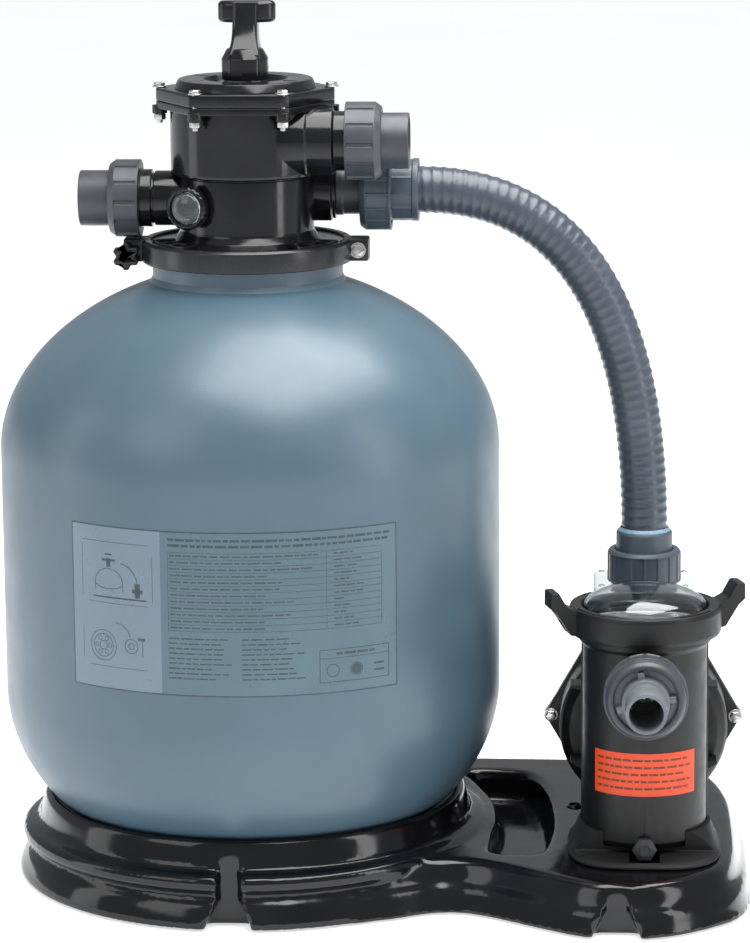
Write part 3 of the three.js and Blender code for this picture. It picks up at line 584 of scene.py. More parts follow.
def label_print():
    """Header bars, a ruled table, two columns of bars and a small framed box of plain signs."""
    draw = random.Random(7)
    left, right, column = LABEL["split"] + 8, LABEL["half"] - 8, 100
    lines = []
    for z in (417, 411):
        lines += word_bars(draw, left, right, z, 2.6)
    for row in range(13):
        z = 404 - row * 6.8
        lines.append(level(left, right - 10, z, 0.45))
        if row < 12:
            lines += word_bars(draw, left + 2, draw.uniform(30, column - 6), z - 3.4, 1.5)
            lines += word_bars(draw, column + 8, column + draw.uniform(20, 44), z - 3.4, 1.5)
    foot = 404 - 12 * 6.8
    lines += [upright(u, foot, 404, 0.45) for u in (left, column, right - 10)]
    for start in (left, left + 76):
        for row in range(9):
            lines += word_bars(draw, start, start + draw.uniform(44, 66), foot - 8 - row * 5.2, 1.4)
    u0, u1, z0, z1 = 92, right - 2, 266, 300
    lines += frame_lines(u0, u1, z0, z1, 0.8)
    lines.append(level(u0, u1, z1 - 9, 0.6))
    lines += word_bars(draw, u0 + 18, u0 + 62, z1 - 4.6, 2.4)
    lines += [
        loop(u0 + u, z0 + 12, r, width) for u, r, width in ((14, 6.5, 0.9), (40, 6.5, 0.9), (40, 3, 5))
    ]
    lines += [level(u0 + 60, u0 + 72, z0 + 15, 2), level(u0 + 60, u0 + 72, z0 + 8, 2)]
    return lines


def make_tank_label():
    half, low, high, split = (LABEL[key] for key in ("half", "low", "high", "split"))
    centre = Vector((0, 0, 0))
    mid, tall = (low + high) / 2, high - low
    film = strips("label_film", [level(split, half, mid, tall)], TANK_R + 0.05, centre, 0.2)
    settle(film, "film", "tank_grey")
    panel = strips("label_panel", [level(-half, split, mid, tall)], TANK_R + 0.05, centre, 0.22)
    settle(panel, "panel", "pale_plastic")
    lines = label_drawings() + label_print() + frame_lines(-half, half, low, high, 1.1)
    settle(strips("label_print", lines, TANK_R + 0.26, centre, 0.08), "ink", "rubber")


make_tank_label()

# ---- Base tray: one vacuum-formed sheet. Rows are (inset, height), profiles are (radius, height) ----
LOBE = [
    (0, -150), (96, -226), (150, -216), (207, -189), (250, -196), (320, -243), (357, -265),
    (396, -273), (445, -263), (492, -231), (524, -190), (537, -120), (540, -15), (536, 100),
    (518, 185), (488, 238), (430, 259), (330, 263), (120, 258), (0, 190), (-40, 20),
]
FASCIA = [
    (0, 0.5), (0.4, 4), (2.5, 6), (5, 15), (7, 24), (12, 30), (15.5, 34), (18.5, 42), (21.5, 49), (27, 54)
]
RECESS = [
    (262, -132), (300, -141), (317, -120), (325, -40), (323, 40), (315, 110), (301, 160),
    (280, 181), (226, 182), (236, 140), (256, 70), (262, 0), (258, -70),
]
RECESS_ROWS = [(10, 20), (7, 21.5), (4, 26), (1.5, 46), (0, 52), (-4, 56), (-6, 70)]
DECK = 54
RIM_TOP = low_high("base_tray")[1].z
RING = [
    (0, 0.5), (256.5, 0.5), (257, 8, 2), (255.5, 12, 3), (250, 26, 4), (243, 33, 4), (238, 48, 6),
    (229, 84, 4),
    (226, RIM_TOP, 4), (216, RIM_TOP, 4), (210, 80), (0, 80),
]
SHOULDER = [(200, 40), (252, 40, 8), (253, 56, 8), (238, 60, 8), (200, 60)]
HOLE_RIM = [(5.6, 51), (10.5, 51), (10, 54.6), (7.4, 56.4), (5.6, 55.4)]
SEAT_GAP = 3.0  # between the tank's bowl and its seat
FLOOR_SKIN = 3.2  # faces lower than this and facing down are the tray's open underside
DECK_HOLES = [(348, 40), (484, 36)]
SHEET = 3.2
VOXEL = 3.4


def smooth_outline(points, per_side=8):
    """A closed Catmull-Rom curve through the points."""
    curve, count = [], len(points)
    for i in range(count):
        p = [Vector(points[(i + k) % count]) for k in (-1, 0, 1, 2)]
        for j in range(per_side):
            t = j / per_side
            a = p[1] * 2 + (p[2] - p[0]) * t
            b = (p[0] * 2 - p[1] * 5 + p[2] * 4 - p[3]) * t * t
            c = (p[1] * 3 - p[0] - p[2] * 3 + p[3]) * t**3
            curve.append((a + b + c) / 2)
    return curve


def stacked(name, outline, rows):
    return loft(name, [[(x, y, z) for x, y in inset(outline, d)] for d, z in rows])


def notch(name, x, half, high, y0, y1):
    """A gap in the fascia, from y0 to y1, that is wider at the floor."""
    right = [(1.9 * half, -4), (1.9 * half, 8), (half, 30), (half, high)]
    outline = rounded([(-right[0][0], -4)] + right + [(-u, z) for u, z in right[:0:-1]], 4, closed=True)
    return loft(name, [[(x + u, y, z) for u, z in outline] for y in (y0, y1)])


def make_base():
    lobe = stacked("base_tray", smooth_outline(LOBE), FASCIA)
    ring = turned("ring", RING, 2, 160)
    above = [Vector((223, 100)), Vector((223, 130)), Vector((0, 130))]
    seat = lathe("seat", bowl_curve(-SEAT_GAP)[:34] + above, 128)
    well = rod("well", 84, 4, 140, 96, 3)
    roll = turned("roll", SHOULDER, 2, 160)
    pocket = stacked("pocket", smooth_outline(RECESS, 6), RECESS_ROWS)
    rims = [put(turned("rim", HOLE_RIM, 0.8, 48), at(x, y, 0)) for x, y in DECK_HOLES]
    holes = [put(rod("hole", 5.7, 20, 80, 32), at(x, y, 0)) for x, y in DECK_HOLES]
    join(lobe, ring, roll)
    notches = [notch("notch_ring", -8, 12, 83, -300, -231), notch("notch_pump", 393, 12, DECK, -300, -251)]
    cut(lobe, seat, well, pocket, *notches)
    shape = lobe.modifiers.new("even", "REMESH")
    shape.mode = "VOXEL"
    shape.voxel_size = VOXEL * MM
    smooth = lobe.modifiers.new("soften", "SMOOTH")
    smooth.factor = 0.6
    smooth.iterations = 5
    bake(lobe)
    open_below(lobe)
    thick = lobe.modifiers.new("sheet", "SOLIDIFY")
    thick.thickness = SHEET * MM
    thick.offset = -1
    thick.use_even_offset = False
    bake(lobe)
    cut(lobe, *holes)
    settle(lobe, "base", "base_black", "base_tray", sharp=60)
    collars = merged("deck_hole_rims", rims)
    settle(collars, "base", "base_black")


def open_below(obj):
    """Takes away the faces that lie on the floor, so that one sheet is left."""
    work = bmesh.new()
    work.from_mesh(obj.data)
    down = [face for face in work.faces if face.normal.z < -0.5]
    flat = [face for face in down if face.calc_center_median().z < FLOOR_SKIN * MM]
    bmesh.ops.delete(work, geom=flat, context="FACES")
    work.to_mesh(obj.data)
    work.free()


make_base()

# ---- Multiport valve ----
HEX_R = 97.4
BOLT_R = 91
FLANGE_TOP = 686.2
STEP_Z = 757
HEX_LOW = 827
SIGHT = {"place": (-59.5, -67, 728), "turn": -20, "bezel": 22.8, "lens": 16.6, "depth": 11}
TO_SIGHT = at(*SIGHT["place"], FRONT @ Matrix.Rotation(math.radians(SIGHT["turn"]), 4, "Y"))


def cut_hexagon(flat=6.5):
    """A hexagon with its corners at 0, 60, ... degrees, each cut short by a small flat."""
    reach, side = HEX_R * math.cos(math.pi / 6), HEX_R / 2 - flat
    corners = []
    for angle in around(6, math.pi / 6):
        for along in (-side, side):
            x = reach * math.cos(angle) - along * math.sin(angle)
            corners.append((x, reach * math.sin(angle) + along * math.cos(angle)))
    return rounded(corners, 2.2, closed=True)


def make_valve_body():
    outside = [
        (0, 652), (94, 652), (94, 676.8), (107, 676.8, 0.5), (107, FLANGE_TOP, 1.5), (84, FLANGE_TOP, 1),
        (76, 690, 3), (71, 698, 6), (71, 755.4), (70, 756), (70, STEP_Z), (79, STEP_Z + 2, 1), (80, 762, 2),
        (80, 834.7), (0, 834.7),
    ]
    body = turned("valve_casing", outside, 0.6, 144)
    plate = slab("plate", cut_hexagon(), HEX_LOW, 834.7, 0.8)
    pillars = [put(rod("pillar", 8, 821, 830, 48, 1), at(*polar(BOLT_R, a), 0)) for a in around(6)]
    waste = turned("port", [
        (0, 20), (30, 20), (29, 60, 8), (29, 97), (26.6, 97), (26.6, 100), (30.5, 100), (30.5, 111, 0.5),
        (31.3, 112), (31.3, 134), (0, 134)], 0.7)
    back = turned("port", [
        (0, 30), (41, 36, 2), (38, 66, 3), (36, 68, 1), (36, 94), (31.3, 96), (31.3, 129), (0, 129)], 0.8)
    supply = turned("port", [
        (0, 20), (34, 20), (33, 60), (33, 88, 1), (30.5, 90, 0.6), (30.5, 93), (0, 93)], 0.8)
    boss = turned("boss", [(0, -58), (20, -58), (20, -11.3), (0, -11.3)], 0.6, 64)
    put(waste, TO_WASTE)
    put(back, TO_RETURN)
    put(supply, TO_SUPPLY)
    put(boss, TO_SIGHT)
    join(body, plate, waste, back, supply, boss, *pillars)
    bores = [put(rod("bore", 22, 34, 140, 64), place) for place in (TO_WASTE, TO_RETURN, TO_SUPPLY)]
    chamber = rod("chamber", 72, 768, 840, 96)
    cellar = rod("cellar", 64, 640, 757.9, 96)
    nuts = [put(rod("nut_room", 8.6, 800, 820.9, 32), at(*polar(BOLT_R, a), 0)) for a in around(6)]
    eye = put(rod("eye", 13, -60, 0, 48), TO_SIGHT)
    cut(body, chamber, cellar, eye, *bores, *nuts)
    settle(body, "valve", "valve_black", "valve_body")


def make_valve_cover():
    plate = slab("valve_cover_plate", cut_hexagon(), COVER_LOW, 848.6, 1.4)
    disc = turned("disc", [
        (0, 844), (75, 844), (75, 849.4, 0.6), (71, 857.4, 1.2), (69.4, COVER_TOP, 0.6),
        (45, COVER_TOP, 0.8), (42, 852, 1), (0, 852)], 0.8, 144)
    join(plate, disc)
    dish = turned("dish", [(0, 834), (66, 834), (66, 845), (58, 846.6), (0, 846.6)], 1)
    stem = rod("stem_hole", 8.7, 800, 900, 48)
    cut(plate, dish, stem)
    settle(plate, "valve", "valve_black", "valve_cover")
    marks = []
    for angle in around(6, math.pi / 2):
        bar = block("mark", 49, 65, -1.4, 1.4, COVER_TOP - 0.6, COVER_TOP + 0.35, 0.6, 0.3)
        marks.append(put(bar, Matrix.Rotation(angle, 4, "Z")))
    settle(merged("position_marks", marks), "clamp", "valve_black")


def make_cover_bolt(number, angle):
    head = slab("head", hexagon(6.2), 849.9, 853.6, 1.0)
    collar = rod("collar", 7.4, 848.8, 850.1, 40, 0.5)
    shank = rod("shank", 3.1, 811, 850, 24, 0.6)
    nut = slab("nut", hexagon(6.4), 814.4, 820.6, 0.8)
    bolt = merged(f"cover_screw_{number}", [head, collar, shank, nut])
    put(bolt, at(*polar(BOLT_R, angle), 0, Matrix.Rotation(angle * 2.3, 4, "Z")))
    settle(bolt, "steel", "steel", f"cover_bolt_{number}")


def make_handle():
    top = low_high("valve_handle")[1].z

    def flutes(k, r, z):
        return r - 0.8 * (0.5 + 0.5 * math.cos(TAU * 10 * k / 120)) if r > 22 else r

    profile = [(0, 857), (25, 857), (25, 876), (25, 879, 2), (19, 889, 3), (12, 891), (0, 891)]
    hub = turned("tee_handle", profile, 1.2, 120, flutes)
    slices = [  # height, half width, front, back
        (876, 20, -17, 18), (884, 17.6, -19, 20), (890, 15.2, -15.5, 23), (897, 13.8, -10.5, 26.5),
        (906, 13.2, -4.6, 30), (916, 13.1, -0.6, 34), (926, 13.1, 2.8, 37), (top - 0.6, 13.2, 6.2, 34),
    ]
    neck = loft("neck", [
        [(x, y, z) for x, y in rectangle(-half, half, y0, y1, 4)] for z, half, y0, y1 in slices])
    oval = []
    for k in range(96):
        c, s = math.cos(TAU * k / 96), math.sin(TAU * k / 96)
        x = 30.5 * math.copysign(abs(c) ** 0.72, c)
        y = 30.5 + 11.5 * math.copysign(abs(s) ** 0.86, s) - (2.4 * (1 - (x / 30.5) ** 2) if s < 0 else 0)
        oval.append((x, min(y, 42)))
    bar = slab("bar", oval, 914, top, 5.2, 6)
    rows = ((891, -13, 0.9), (905, -4, 0.8), (918, 1.2, 0.6), (930, 5, 0.3))
    ridge = loft("ridge", [
        [(-2.4 * w, y + 2, z), (2.4 * w, y + 2, z), (0.6 * w, y - 1.5 * w, z), (-0.6 * w, y - 1.5 * w, z)]
        for z, y, w in rows
    ])
    join(hub, neck, bar, ridge)
    slot = block("slot", -8.8, 8.8, -14, 16, 850, 881.6, 2, 0.5)
    pin = put(rod("pin_bore", 3.4, -30, 30, 24), at(0, 0, PIN.z, RIGHT))
    cut(hub, slot, pin)
    settle(hub, "valve", "valve_black", "valve_handle", body="handle")


def make_sight_glass():
    depth, r, lens_r = SIGHT["depth"], SIGHT["bezel"], SIGHT["lens"]

    def grips(k, reach, z):
        return reach - 0.7 if reach > r - 0.4 and k % 6 in (0, 1) else reach

    bezel = turned("sight_ring", [
        (lens_r + 0.7, -depth), (r, -depth), (r, -5), (r, -2.4, 1), (19.8, 0, 1.4), (18, -1.2, 0.5),
        (lens_r + 0.7, -3)], 0.6, 120, grips)
    settle(put(bezel, TO_SIGHT), "valve", "valve_black", "sight_bezel")
    crown = [(lens_r * math.cos(t), -3 + 7 * math.sin(t)) for t in (math.pi / 2 * k / 14 for k in range(15))]
    crown[-1] = (0, 4)
    back = [(0, -4.5), (lens_r - 1.6, -4.5), (lens_r - 1.6, -8), (lens_r, -8)]
    lens = lathe("sight_dome", back + crown, 72)
    settle(put(lens, TO_SIGHT), "clear", "clear_plastic", "sight_lens")
    seat = turned("sight_seat", [
        (0, -10.8), (lens_r - 2, -10.8), (lens_r - 2, -8.6), (10.5, -6.4, 1), (9.6, -9), (0, -9)], 0.4, 72)
    settle(put(seat, TO_SIGHT), "pipe", "pale_plastic")
    # A dark disc in the seat's dish: painted shade where the lens looks into the valve.
    pupil = rod("sight_floor", 9.4, -9.4, -8.4, 48, 0.3)
    settle(put(pupil, TO_SIGHT), "painted_shade", "pale_plastic")


def make_clamp(side, name, node):
    """Half of the split clamp, with a lug at each end and a small pocket in the top of one lug."""
    band = lathe(name, rounded([
        (103, 665.2, 1), (112, 665.2, 1.6), (112, 686, 2.2), (109, 688.6, 1.6), (103, 688.6, 1),
        (103, 686.6, 0.3), (107.5, 686.6, 0.3), (107.5, 667.6, 0.3),
        (103, 667.6, 0.3)], 0.8, closed=True), 160)
    y0, y1 = sorted((1.5 * side, 14 * side))
    left = block("lug", -131, -103, y0, y1, 664.5, 689, 3, 2)
    eye = put(rod("eye", 10.5, y0, y1, 48, 1.5), at(STUD.x, 0, STUD.z, BACK))
    taper = [(98, 40 * side), (108, 15 * side), (129, 14 * side), (130, 1.5 * side), (104, 1.5 * side)]
    if side > 0:
        taper.reverse()
    right = slab("lug", rounded(taper, 3, closed=True), 665.4, 689, 1.8)
    core = lathe("core", [(0, 667.6), (107.4, 667.6), (107.4, 686.6), (0, 686.6)], 128)
    half = block("half", -200, 200, *sorted((1.5 * side, 200 * side)), 640, 720, 1, 0.5)
    join(band, left, eye, right)
    hollow = [(110, 5 * side), (124, 5 * side), (124, 10.5 * side), (110, 10.5 * side)]
    pocket = slab("pocket", rounded(hollow[::side], 2, closed=True), 684.5, 700, 0.5)
    bolts = [put(rod("hole", 4.4, -40, 40, 24), at(place.x, 0, place.z, FRONT)) for place in (STUD, BOLT)]
    boolean(band, "INTERSECT", [half])
    cut(band, core, pocket, *bolts)
    settle(band, "clamp", "valve_black", node)


def make_flange_ribs():
    """Raised ribs round two pockets on the flange, each side of the valve."""
    ribs = []
    for start in (math.radians(198), math.radians(306)):
        for k in range(4):
            bar = block("rib", 78, 103, -1.1, 1.1, 685, 691.4 - 0.8 * (k % 2), 0.6, 0.6)
            ribs.append(put(bar, Matrix.Rotation(start + math.radians(12 * k), 4, "Z")))
        arc = [start + math.radians(36) * k / 18 for k in range(19)]
        rail = [polar(102.4, a) for a in arc] + [polar(100, a) for a in reversed(arc)]
        ribs.append(slab("rail", rail, 685, 690, 0.5))
    settle(merged("flange_ribs", ribs), "valve", "valve_black")


def make_clamp_fasteners():
    stud = merged("clamp_screw_left", [
        slab("head", hexagon(7), -20.3, -14.5, 0.8), rod("shank", 4, -16, 25, 32, 0.8),
        rod("ring", 8.4, -15, -14.2, 40, 0.3)])
    settle(put(stud, at(STUD.x, 0, STUD.z, FRONT)), "steel", "steel", "clamp_stud")
    bolt = merged("clamp_screw_right", [
        slab("head", hexagon(7), -20.3, -14.5, 0.8), rod("shank", 4, -16, 20, 32, 0.8),
        rod("ring", 8.4, 14.2, 15, 40, 0.3),
        slab("nut", hexagon(7), 15, 20.3, 0.8)])
    settle(put(bolt, at(BOLT.x, 0, BOLT.z, FRONT)), "steel", "steel", "clamp_bolt")
    star = []
    for angle in around(6, math.pi / 6):
        star += [polar(14.5, angle - 0.16), polar(14.5, angle + 0.16), polar(10.2, angle + math.pi / 6)]
    knob = slab("star_grip", rounded(star, 1.4, closed=True), 3, 15, 1.6)
    cup = rod("cup", 6.2, 11.6, 17, 32, 0.3)
    bore = rod("bore", 4.4, -1, 17, 32, 0.2)
    boss = rod("boss", 9, 0, 4, 40, 0.4)
    join(knob, boss)
    cut(knob, cup, bore)
    settle(put(knob, at(STUD.x, -14.3, STUD.z, FRONT)), "clamp", "nut_grey", "star_knob", body="star_knob")


make_valve_body()
make_valve_cover()
for count, corner_angle in enumerate(around(6), 1):
    make_cover_bolt(count, corner_angle)
make_handle()
make_sight_glass()
make_clamp(-1, "clamp_half_front", "clamp_front")
make_clamp(1, "clamp_half_rear", "clamp_rear")
make_flange_ribs()
make_clamp_fasteners()

# ---- Unions ----
PAD_SIDES = 16  # sides of the mesh to each pad


def union_nut(name, r, length, bore, lip, lip_depth, chamfer, pads=12, raised=False, depth=1.8):
    """A union nut along +Z with its lip at the far end: pads parted by grooves, or thin raised ribs."""
    sides = pads * PAD_SIDES
    low, high = 2.2, length - chamfer - 1

    def grip(k, reach, z):
        if reach < r - 0.3 or not low < z < high:
            return reach
        near = min(k % PAD_SIDES, PAD_SIDES - k % PAD_SIDES)
        groove = (1, 0.9, 0)[min(near, 2)]
        return reach - depth * ((1 - groove) if raised else groove)

    wall = [(r, low - 0.3, 0), (r, low + 0.3, 0), (r, high - 0.3, 0), (r, high + 0.3, 0)]
    outline = [(bore, 0, 0.5), (r, 0, 1.1)] + wall
    outline += [(r, length - chamfer, 1), (r - 0.7 * chamfer, length, 1.4), (lip, length, 0.8)]
    outline += [(lip, length - lip_depth, 0.3), (bore, length - lip_depth, 0.5)]
    return lathe(name, rounded(outline, 0.5, closed=True), sides, grip)


def union_tail(name, node, flange, length, station, low):
    profile = [
        (22, 0), (31.4, 0), (31.4, flange), (29.4, flange), (29.4, length, 1.2), (25.5, length, 0.8),
        (25.5, length - 26, 0.3), (22, length - 26, 0.3),
    ]
    tail = lathe(name, rounded(profile, 0.5, closed=True), 96)
    put(tail, station @ at(0, 0, low))
    settle(tail, "nut", "nut_grey", node)


def make_valve_unions():
    nut = union_nut("waste_union_nut", 41, 32.5, 31.9, 29.9, 4.5, 6.5)
    settle(put(nut, TO_WASTE @ at(0, 0, 112.4)), "nut", "nut_grey", "waste_nut", body="waste_nut")
    union_tail("waste_union_tail", "waste_tail", 5.5, 42.6, TO_WASTE, 134.4)
    nut = union_nut("return_union_nut", 41, 38, 31.9, 29.9, 8, 7)
    settle(put(nut, TO_RETURN @ at(0, 0, 107.5)), "nut", "nut_grey", "return_nut", body="return_nut")
    union_tail("return_union_tail", "return_tail", 7.5, 44.6, TO_RETURN, 129.4)


def make_hose_unions():
    fitting = turned("hose_screw_fitting", [
        (18, 72), (21.7, 72), (21.7, 93.3), (27, 93.3, 1.2), (27, 100), (26, 102), (26, 118), (30, 120),
        (34, 124.4), (34, 129.7), (18, 129.7)], 0.6)
    settle(put(fitting, TO_SUPPLY), "nut", "valve_black", "hose_port_fitting")

    def webs(k, reach, z):
        return reach + 1.0 if abs(reach - 32) < 0.4 and 153 < z < 174 and k % 10 == 0 else reach

    collar = turned("hose_collar_top", [
        (22, 130), (35.9, 130), (35.9, 148), (32, 152.8, 0), (32, 153.2, 0), (32, 173.6, 0), (32, 174, 0),
        (33.4, 175, 0.8), (33.4, 181, 1), (25.4, 181, 0.8), (25.4, 141, 0.4),
        (22, 141, 0.4)], 0.6, 120, webs)
    settle(put(collar, TO_SUPPLY), "blue", "valve_black", "hose_top_collar")
    nut = union_nut("hose_union_nut", 43, 33, 36.5, 28.4, 5, 6, 16, True, 1.2)
    nut.data.transform(Matrix.Rotation(math.pi, 4, "X"))
    settle(put(nut, TO_SUPPLY @ at(0, 0, 152)), "blue", "nut_blue_grey", "hose_top_nut", body="hose_top_nut")

    lower = turned("hose_collar_bottom", [
        (22, 331.4), (34.1, 331.4), (34.1, 339.4), (30.8, 339.4), (30.2, 348), (30.2, 364, 1),
        (28.8, 366.5, 1), (25.4, 366.5, 0.4), (25.4, 345), (22, 345)], 0.6)
    settle(put(lower, TO_OUTLET), "blue", "pump_black", "hose_bottom_collar")
    nut = union_nut("outlet_union_nut", 39.6, 35, 34.6, 31.4, 6, 3.5, 16, True, 1.2)
    put(nut, TO_OUTLET @ at(0, 0, 311))
    settle(nut, "blue", "nut_blue_grey", "pump_outlet_nut", body="pump_outlet_nut")
    bead = turned("solvent_bead", [(25.2, 365.8), (28.6, 366.4), (26.4, 369.4), (25.2, 370.4)], 0.5, 72)
    settle(put(bead, TO_OUTLET), "cement", "hose_grey")


make_valve_unions()
make_hose_unions()

# ---- Pump ----
POT_R = 65.4
POT_LOW = 66
MOUTH = 298
DRUM_R = 91
STICKER = {"half": math.radians(52) * 65.4, "low": 124, "high": 170}


def make_pump_body():
    pot = turned("pump_casing", [
        (0, POT_LOW), (60, POT_LOW, 3), (POT_R, 72, 3), (POT_R, 274, 3), (69.6, 279, 2), (70, MOUTH, 0.8),
        (0, MOUTH)], 1, 144)
    put(pot, TO_POT)
    neck = put(rod("neck", 46, -60, 20, 96, 1), TO_SHAFT)
    drum = turned("drum", [
        (0, 7), (60, 7, 4), (66, 4.5, 3), (80, 5, 4), (DRUM_R - 3, 12, 4), (DRUM_R, 18, 4), (DRUM_R, 68),
        (0, 68)], 1.5, 144)
    put(drum, TO_SHAFT)
    riser = turned("riser", [(0, 190), (30, 190), (30, 305), (34, 305), (34, 331), (0, 331)], 0.8)
    put(riser, TO_OUTLET)
    inlet = turned("inlet", [
        (0, 150), (37, 150), (34, 168, 8), (30, 176, 3), (30, 200), (34, 200), (34, 222), (0, 222)], 0.8)
    put(inlet, TO_INLET)
    drain = put(rod("drain", 11, 150, 169, 64, 1.2), TO_DRAIN)
    extras = []
    for side in (-1, 1):
        for low, high, reach in ((98, 122, 79), (192, 206, 79)):
            corners = [(side * 40, low), (side * reach, high - 2), (side * reach, high), (side * 40, high)]
            web = rounded(corners, 0.8, closed=True)
            extras.append(loft("web", [[(POT.x + x, y, z) for x, z in web] for y in (-20, 8)]))
        x = POT.x + side * 65
        extras.append(block("rib", x - 1.8, x + 1.8, POT.y - 2.2, POT.y + 2.2, 76, 276, 1, 0.6))
    seam = block("seam", POT.x - 0.5, POT.x + 0.5, POT.y - POT_R - 0.35, POT.y - 50, 80, 270, 0.2, 0.2)
    join(pot, neck, drum, riser, inlet, drain, seam, *extras)
    tools = [
        put(rod("strainer_bore", 60, 72, 400, 96), TO_POT),
        put(rod("wet_end", 72, 20, 80, 96), TO_SHAFT),
        put(rod("eye", 24, -90, 30, 64), TO_SHAFT),
        put(rod("rise_bore", 22, 205, 400, 64), TO_OUTLET),
        put(rod("inlet_bore", 20, 130, 240, 64), TO_INLET),
        put(rod("drain_bore", 7.5, 145, 180, 32), TO_DRAIN),
        put(lathe("groove", [(62.6, 295.4), (67.4, 295.4), (67.4, 300), (62.6, 300)], 96), TO_POT),
    ]
    cut(pot, *tools)
    settle(pot, "pump", "pump_black", "pump_housing")


def foot_outline(wide, deep, shift, power, sides=128):
    """A rounded rectangle about the pot's axis; a higher power makes its corners squarer."""
    points = []
    for k in range(sides):
        c, s = math.cos(TAU * k / sides), math.sin(TAU * k / sides)
        across = math.copysign(wide * abs(c) ** (2 / power), c)
        along = math.copysign(deep * abs(s) ** (2 / power), s)
        points.append((POT.x + across, POT.y + shift + along))
    return points


def make_pump_foot():
    rows = [  # height, half width, half depth, shift, squareness
        (54.6, 79.6, 96.6, -4, 3.2), (55.8, 80.8, 97.8, -4, 3.2), (57.4, 80.6, 97.6, -4, 3.2),
        (58.6, 79.4, 96.2, -3.8, 3.1), (66, 75.6, 86, -2.4, 2.7), (76, 71.8, 75, -0.8, 2.3),
        (82, 70, 70, 0, 2),
    ]
    skirt = loft("pump_stand", [[(x, y, row[0]) for x, y in foot_outline(*row[1:])] for row in rows])
    join(skirt, block("saddle", POT.x - 50, POT.x + 50, -62, 60, 54.6, 76, 8, 3))
    tools = [
        block("front", POT.x - 95, POT.x + 95, -280, -150, 61, 100, 8, 1.5),
        put(rod("seat", POT_R + 0.5, 65.6, 120, 96, 2), TO_POT),
        put(rod("drum_room", DRUM_R + 0.5, -80, 80, 96), TO_SHAFT),
        block("drain_gap", POT.x - 16, POT.x + 16, -195, -150, 50, 110, 4, 1),
    ]
    cut(skirt, *tools)
    settle(skirt, "foot", "pump_black", "pump_foot")


def make_seal_plate():
    plate = slab("pump_flange", hexagon(108, 9), 68.6, 84, 1.6)
    put(plate, at(SHAFT.x, 0, SHAFT.z, BACK))
    holes = [put(rod("hole", 4.4, 60, 90, 24), at(SHAFT.x + x, 0, SHAFT.z, BACK)) for x in (-101, 101)]
    cut(plate, put(rod("shaft_hole", 12, 60, 90, 48), TO_SHAFT), *holes)
    settle(plate, "pump", "pump_black", "seal_plate")
    for side, x in (("left", -101), ("right", 101)):
        cap = slab("cap", hexagon(6.4), 60.4, 66.6, 1)
        core = rod("core", 3.4, 62, 94, 24, 0.4)
        nut = slab("nut", hexagon(7), 84.4, 90, 0.8)
        ring = rod("ring", 7.6, 66.8, 68.2, 40, 0.4)
        screw = merged(f"flange_screw_{side}", [cap, core, nut, ring])
        put(screw, at(SHAFT.x + x, 0, SHAFT.z, BACK))
        settle(screw, "steel", "steel", f"flange_bolt_{side}")


def make_motor():
    fins, outline = 34, []
    for angle in around(fins):
        for turn, reach in ((-0.028, 68), (0.028, 68), (0.052, 61.5), (TAU / fins - 0.052, 61.5)):
            outline.append(polar(reach, angle + turn))
    ends = ((0.97, 84.4), (1, 87), (1, 247), (0.97, 250))  # scale, distance along the shaft
    shell = loft("motor_frame", [[(x * scale, y * scale, z) for x, y in outline] for scale, z in ends])
    put(shell, TO_SHAFT)
    nose = put(rod("nose", 64, 84.4, 96, 96, 2), TO_SHAFT)
    foot = block("foot", SHAFT.x - 42, SHAFT.x + 42, 180, 215, 54.6, 104, 4, 2)
    arch = block("arch", SHAFT.x - 22, SHAFT.x + 22, 170, 225, 50, 74, 4, 1)
    join(shell, nose, foot)
    stator_room = put(rod("stator_room", 60.6, 93.4, 260, 96), TO_SHAFT)
    cut(shell, stator_room, put(rod("nose_bore", 8.6, 80, 100, 48), TO_SHAFT), arch)
    settle(shell, "pump", "pump_black", "motor_housing", sharp=28)


def make_terminal_box():
    box = block("terminal_cover", SHAFT.x - 55, SHAFT.x + 55, 105, 195, 190, 285, 9, 4)
    step = turned("gland_boss", [(0, -62), (11, -62), (11, -50), (0, -50)], 0.8, 48)
    gland = turned("gland", [(5, -78), (9, -78), (10.5, -70), (10.5, -62.4), (5, -62.4)], 0.8, 40)
    to_side = at(SHAFT.x, 150, 232, RIGHT)
    put(step, to_side)
    put(gland, to_side)
    gaps = [(-60, 60, 100, 106.2), (-60, 60, 193.8, 200), (-60, -53.8, 100, 200), (53.8, 60, 100, 200)]
    strips_cut = []
    for x0, x1, y0, y1 in gaps:
        strips_cut.append(block("gap", SHAFT.x + x0, SHAFT.x + x1, y0, y1, 246, 247.4, 0.3, 0.3))
    lid_gap = merged("lid_gap", strips_cut)
    join(box, step)
    cut(box, put(rod("motor_room", 68.4, 90, 210, 96), TO_SHAFT), lid_gap)
    settle(box, "pale", "pale_plastic", "terminal_box")
    settle(gland, "foot", "rubber")
    screws = []
    for x in (-46, 46):
        for y in (114, 186):
            head = rod("screw", 3.4, 284.4, 286.2, 24, 0.8)
            slot = block("slot", -2.6, 2.6, -0.4, 0.4, 285.4, 288, 0.1, 0.1)
            screws.append(put(cut(head, slot), at(SHAFT.x + x, y, 0)))
    settle(merged("terminal_screws", screws), "steel", "steel")


def make_fan_cover():
    cup = turned("motor_fan_cover", [
        (0, 277), (67, 277, 3), (67, 250.3), (70, 250.3), (70, 273, 4), (64, 280, 3), (0, 280)], 0.8, 120)
    slots = []
    for row, (r0, r1, count) in enumerate(((14, 26, 8), (31, 43, 14), (48, 59, 20))):
        for angle in around(count, row * 0.1):
            bar = block("slot", r0, r1, -2.1, 2.1, 268, 290, 2, 0.3)
            slots.append(put(bar, Matrix.Rotation(angle, 4, "Z")))
    cut(cup, merged("slots", slots))
    settle(put(cup, TO_SHAFT), "pump", "pump_black", "fan_cover")


